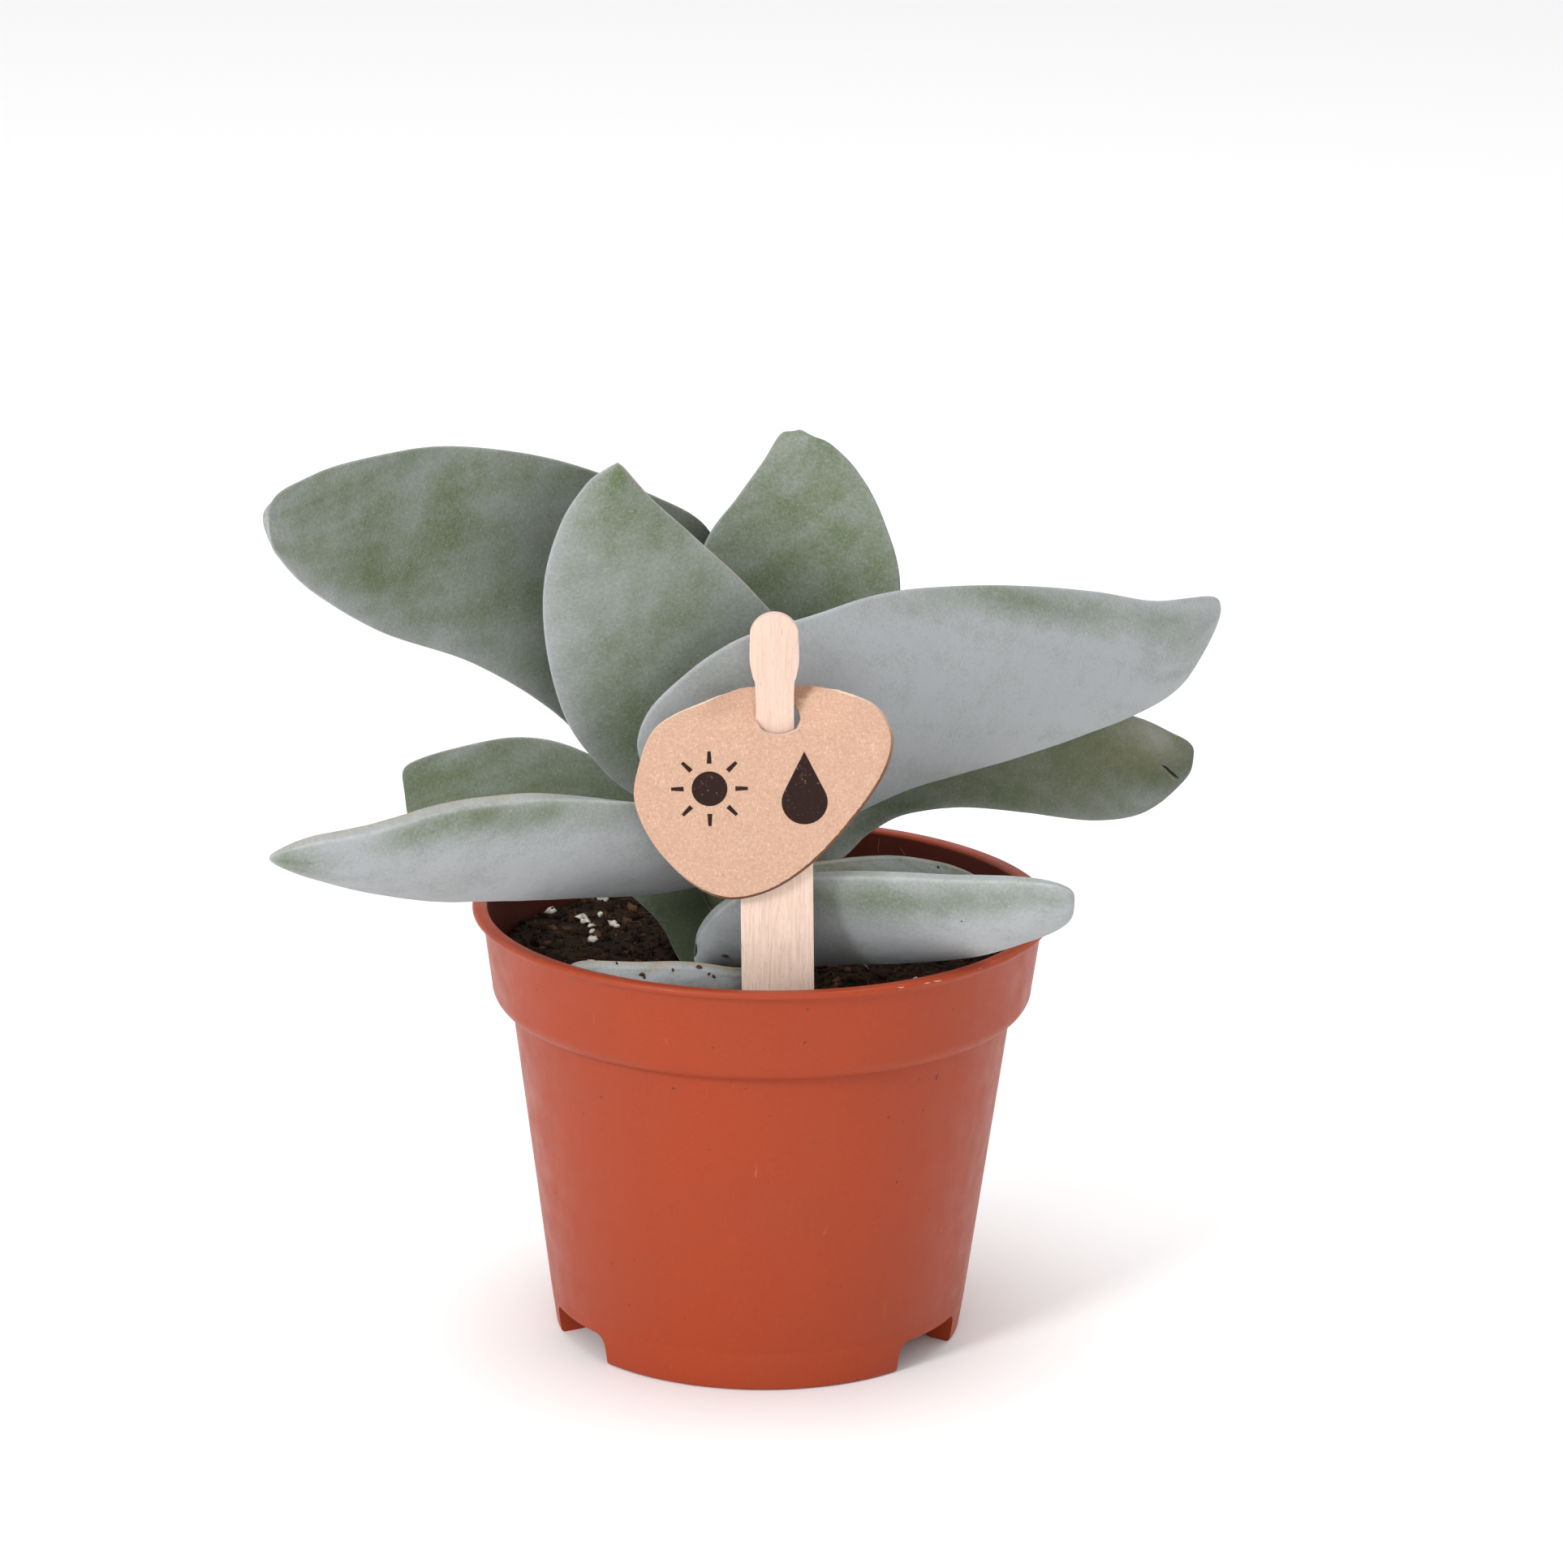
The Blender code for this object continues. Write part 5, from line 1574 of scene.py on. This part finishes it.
def birch_finish():
    lath = Finish("birch", 0.6)
    veins = lath.mottle(0.34, 4.0, 0.65, stretch=(1, 1, 0.05))
    flecks = lath.mottle(0.24, 1.0, stretch=(1, 1, 0.13))
    height = add_node(lath.tree, "ShaderNodeSeparateXYZ", {0: lath.place}).outputs["Z"]
    # Painted light and shade: the lath is paler low down, where the tag and the pot shade it, and darker at
    # the head, where the lamps light it most.
    colour = lath.over(BIRCH_PALE, BIRCH_HEAD_SHADE, height, BIRCH_SHADE_START, BIRCH_SHADE_END)
    colour = lath.over(colour, BIRCH_VEIN, veins, 0.40, 0.72, 0.75)
    colour = lath.over(colour, BIRCH_FIGURE, lath.mottle(2.6, 2.0, stretch=(1, 1, 0.14)), 0.35, 0.7, 0.25)
    colour = lath.over(colour, BIRCH_FLECK, flecks, 0.60, 0.74, 0.45)
    return lath.painted(colour, (veins, 0.05), (flecks, 0.03))


belongs(make_stick(), "birch", "label_stick", finish=birch_finish())

# %% [markdown]
# ## The card tag
# The tag is kraft card, die-cut in a rounded drop with a slit near its top. The neck of the stick comes
# forward through the slit, so the card lies in front of the stick and its top edge dips behind the neck.
# The flat shape is sliced into a fine grid, each point is moved forwards or back by a smooth step, and
# Solidify gives it the thickness of card. The rim has its own, darker finish, as a cut edge has, with a
# painted highlight on its upper left edges and a painted shade on its lower right ones. A painted shadow
# of the neck lies on the card to the right of the neck.

# %% Tag sizes, in millimetres
TAG_THICKNESS = 0.9
TAG_SLIT_WIDTH = 7.7
TAG_SLIT_MIDDLE = 0.60
TAG_SLIT_BOTTOM = 122.9
TAG_SLIT_DEPTH = 2.6
TAG_SLIT_TOP = 126.9
TAG_BEND_BOTTOM = 123.6
TAG_BEND_TOP = 127.2
TAG_DENT = 1.6
TAG_DENT_SLOPE = 0.8
TAG_DENT_INNER = 4.6
TAG_DENT_OUTER = 14.0
TAG_HANG = 0.05
TAG_CLEARANCE = 0.5
TAG_OUTLINE = (
    (-3.4, 129.8), (4.8, 129.9), (11.8, 130.2), (17.7, 127.7), (20.5, 122.3), (18.9, 115.6),
    (13.3, 107.3), (6.5, 99.9), (-1.0, 94.9), (-8.7, 93.4), (-15.2, 96.5), (-21.0, 103.1),
    (-24.4, 110.5), (-24.0, 116.6), (-20.6, 124.4), (-12.0, 128.8),
)
TAG_LOW = (-25, 0, 93)
TAG_HIGH = (21, 0, 132)
TAG_GRID = 1.3
TAG_BEVEL = 0.16
TAG_BEVEL_ANGLE = 38
TAG_SHARP_ANGLE = 36
CUT_DIRECTION = (0.62, -0.78)
CUT_SIDE = (-0.2, 0.6)
CUT_SLANT = 0.7
NECK_SHADOW_REACH = 5.6
NECK_SHADOW_TOP = 130.6
NECK_SHADOW_LEAST = 0.08
NECK_SHADOW_FADE = (0.55, 1.1)
CUT_REACH = 3.5


# %% The slit, and how the card lies
def slit_outline():
    """The opening that the neck goes through: a smiling lower edge and a straight upper edge."""
    half = TAG_SLIT_WIDTH / 2
    lower = [
        (TAG_SLIT_MIDDLE + half * x, TAG_SLIT_BOTTOM + TAG_SLIT_DEPTH * (1 + y))
        for x, y in arc((0, 0), 1.0, 180, 360, 16)
    ]
    return lower + [(NECK_WIDTH / 2 + 0.3, TAG_SLIT_TOP), (-NECK_WIDTH / 2, TAG_SLIT_TOP)]


def tag_depth(across, height):
    """How far the card is before the lath: in front of it, but for a dent behind the neck."""
    front = STICK_THICKNESS / 2 + TAG_CLEARANCE + TAG_THICKNESS / 2
    hang = TAG_HANG * max(TAG_BEND_BOTTOM - height, 0)
    pressed = eased(height, TAG_BEND_BOTTOM, TAG_BEND_TOP)
    dent = pressed * (1 - eased(abs(across), TAG_DENT_INNER, TAG_DENT_OUTER))
    back = TAG_DENT + TAG_DENT_SLOPE * max(height - TAG_BEND_TOP, 0)
    return front + hang - (front + back) * dent


def bend(made, lift=0.0):
    """Slices a flat piece into a grid and moves each point forwards as the card lies, and by a lift."""
    with editing(made.data) as work:
        for axis, normal in ((0, Vector((1, 0, 0))), (2, Vector((0, 0, 1)))):
            for index in range(1, int((TAG_HIGH[axis] - TAG_LOW[axis]) / TAG_GRID)):
                place = normal * ((TAG_LOW[axis] + index * TAG_GRID) * MM)
                shapes = work.verts[:] + work.edges[:] + work.faces[:]
                bmesh.ops.bisect_plane(work, geom=shapes, plane_co=place, plane_no=normal, dist=1e-7)
        bmesh.ops.triangulate(work, faces=[face for face in work.faces if len(face.verts) > 4])
        for vertex in work.verts:
            vertex.co.y -= (tag_depth(vertex.co.x / MM, vertex.co.z / MM) + lift) * MM


def thickened(made, thickness, rim=0):
    """A sheet with its thickness, half on each side."""
    change = made.modifiers.new("thickness", "SOLIDIFY")
    change.thickness = thickness * MM
    change.offset = 0
    change.material_offset_rim = rim
    return flattened(made)


# %% The neck's painted shadow and the slanted cut
def paint_neck_shadow(work):
    """Stores a painted shadow of the neck on the card to its right, a wedge that widens upwards."""
    fold = work.verts.layers.float.new("fold")
    for vertex in work.verts:
        place = Vector((vertex.co.x, vertex.co.z)) / MM
        rise = (place.y - TAG_BEND_TOP) / (NECK_SHADOW_TOP - TAG_BEND_TOP)
        beyond = (place.x - NECK_WIDTH / 2) / (NECK_SHADOW_REACH * min(max(rise, NECK_SHADOW_LEAST), 1))
        if place.x > 0 and place.y > TAG_BEND_TOP - 1:
            vertex[fold] = 1 - eased(beyond, *NECK_SHADOW_FADE)


def slant_cut(work, outline):
    """Draws the front face in towards the lower right, so that the card's edge slants and shows, and stores
    which edges lie at the lower right, where the cut edge is painted in shade.
    """
    low_side = work.verts.layers.float.new("low_side")
    edge = [Vector(point) for point in outline]
    middle = sum(edge, Vector((0, 0))) / len(edge)
    fall = Vector(CUT_DIRECTION).normalized()
    for vertex in work.verts:
        place = Vector((vertex.co.x, vertex.co.z)) / MM
        nearest = min(edge, key=lambda point: (point - place).length_squared)
        vertex[low_side] = eased((nearest - middle).normalized().dot(fall), *CUT_SIDE)
        if -vertex.co.y / MM > tag_depth(place.x, place.y):
            pull = CUT_SLANT * vertex[low_side] * max(1 - (nearest - place).length / CUT_REACH, 0)
            inwards = (middle - nearest).normalized() * pull * MM
            vertex.co.x += inwards.x
            vertex.co.z += inwards.y


# %% Kraft card, and its cut edge
KRAFT = (0.535, 0.34, 0.245)
KRAFT_NECK_SHADOW = (0.22, 0.10, 0.05)
KRAFT_DARK = (0.42, 0.245, 0.16)
KRAFT_LIGHT = (0.66, 0.47, 0.36)
KRAFT_FLECK = (0.20, 0.10, 0.06)
PLIES_LIT = ((0.60, 0.44, 0.34), (0.74, 0.58, 0.47))
PLIES_SHADED = ((0.14, 0.055, 0.03), (0.25, 0.11, 0.06))


def kraft_finish():
    card = Finish("kraft_card", 0.85, Specular_IOR_Level=0.3)
    fibres = card.mottle(0.36, 4.0, 0.75, stretch=(0.5, 1, 1))
    colour = card.over(KRAFT, KRAFT_DARK, fibres, 0.40, 0.62, 0.65)
    pale = card.mottle(0.30, 2.0, 0.7, stretch=(1, 1, 0.5))
    colour = card.over(colour, KRAFT_LIGHT, pale, 0.54, 0.72, 0.8)
    colour = card.over(colour, KRAFT_DARK, card.mottle(5), 0.4, 0.7, 0.18)
    # Painted shadow: to the right of the neck the card is mixed towards a dark brown, as the neck's shadow.
    neck_shadow_share = card.combine("MULTIPLY", card.reading("fold"), card.rescale(fibres, 0.3, 0.7, 0.55, 0.70))
    colour = card.mix(neck_shadow_share, colour, KRAFT_NECK_SHADOW)
    colour = card.over(colour, KRAFT_FLECK, card.mottle(0.42, 1.0), 0.71, 0.77, 0.6)
    return card.painted(colour, (fibres, 0.03))


def cut_edge_finish():
    edge = Finish("card_cut_edge", 0.9, Specular_IOR_Level=0.3)
    plies = edge.mottle(0.5, stretch=(0.4, 2.5, 0.4))
    # A lit and a shaded copy of the cut edge: painted highlight on the upper left edges, painted shade on
    # the lower right ones.
    pale, dark = [edge.over(*tones, plies, 0.3, 0.7) for tones in (PLIES_LIT, PLIES_SHADED)]
    return edge.painted(edge.mix(edge.reading("low_side"), pale, dark), (plies, 0.05))


# %% The tag
def make_tag():
    outline = smooth_outline(TAG_OUTLINE, 8)
    tag = flat_piece("kraft_tag", [outline, slit_outline()], 0.0)
    bend(tag)
    with editing(tag.data) as work:
        bmesh.ops.recalc_face_normals(work, faces=work.faces)
    for finish in (kraft_finish(), cut_edge_finish()):
        tag.data.materials.append(finish)
    tag = thickened(tag, TAG_THICKNESS, rim=1)
    with editing(tag.data) as work:
        paint_neck_shadow(work)
        slant_cut(work, outline)
    tag = bevelled(tag, TAG_BEVEL, TAG_BEVEL_ANGLE, material=1)
    lean_with_stick(tag)
    shaded(tag, TAG_SHARP_ANGLE)
    return tag


belongs(make_tag(), "kraft_card", "label_tag")

# %% [markdown]
# ## Care marks
# Two plain care marks in dark brown ink are printed on the card: a sun for light and a drop for water.
# They are flat outlines, gridded and moved forwards like the card, so that the ink lies on it.

# %% Sun and drop
INK_DEPTH = 0.03
INK_BROWN = (0.022, 0.010, 0.008)
INK_WORN = (0.30, 0.16, 0.10)
SUN_PLACE = (-11.5, 113.5)
SUN_RADIUS = 3.1
SUN_SIDES = 40
SUN_RAYS = 8
RAY_START = 1.45
RAY_END = 2.15
RAY_HALF_WIDTHS = (0.42, 0.28)
DROP_PLACE = (5.0, 111.0)
DROP_RADIUS = 4.0
DROP_TIP = 9.0


def drop_outline():
    """A round drop that rises to a point."""
    x, z = DROP_PLACE
    start = math.degrees(math.acos(DROP_RADIUS / DROP_TIP))
    round_part = arc((x, z), DROP_RADIUS, 90 - start, -270 + start, 32)
    return round_part + [(x, z + DROP_TIP)]


def ray_outline(angle):
    """One tapering ray of the sun."""
    along = Vector((math.cos(angle), math.sin(angle)))
    aside = Vector((-along.y, along.x))
    near = Vector(SUN_PLACE) + along * SUN_RADIUS * RAY_START
    far = Vector(SUN_PLACE) + along * SUN_RADIUS * RAY_END
    wide, slim = RAY_HALF_WIDTHS
    corners = (near + aside * wide, near - aside * wide, far - aside * slim, far + aside * slim)
    return [(corner.x, corner.y) for corner in corners]


def make_care_marks():
    outlines = [drop_outline(), arc(SUN_PLACE, SUN_RADIUS, 0, 360 - 360 / SUN_SIDES, SUN_SIDES - 1)]
    outlines += [ray_outline(math.tau * number / SUN_RAYS) for number in range(SUN_RAYS)]
    marks = flat_piece("care_marks", outlines, 0.0)
    bend(marks, TAG_THICKNESS / 2 + INK_DEPTH)
    marks = thickened(marks, INK_DEPTH)
    lean_with_stick(marks)
    return marks


def ink_finish():
    ink = Finish("brown_ink", 0.7, Specular_IOR_Level=0.12)
    return ink.painted(ink.over(INK_BROWN, INK_WORN, ink.mottle(0.5), 0.62, 0.75, 0.5))


belongs(make_care_marks(), "kraft_card", finish=ink_finish())

# %% [markdown]
# ## Last look at the sizes
# Both boxes, the CAD model's and the dressed object's, are printed at the end. The dressed object
# has to stay inside the box of the CAD model.

# %% Write the two boxes and finish
visual_low, visual_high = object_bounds()
sizes = {"cad": [list(cad_low), list(cad_high)], "visual": [list(visual_low), list(visual_high)]}
print(json.dumps(sizes))
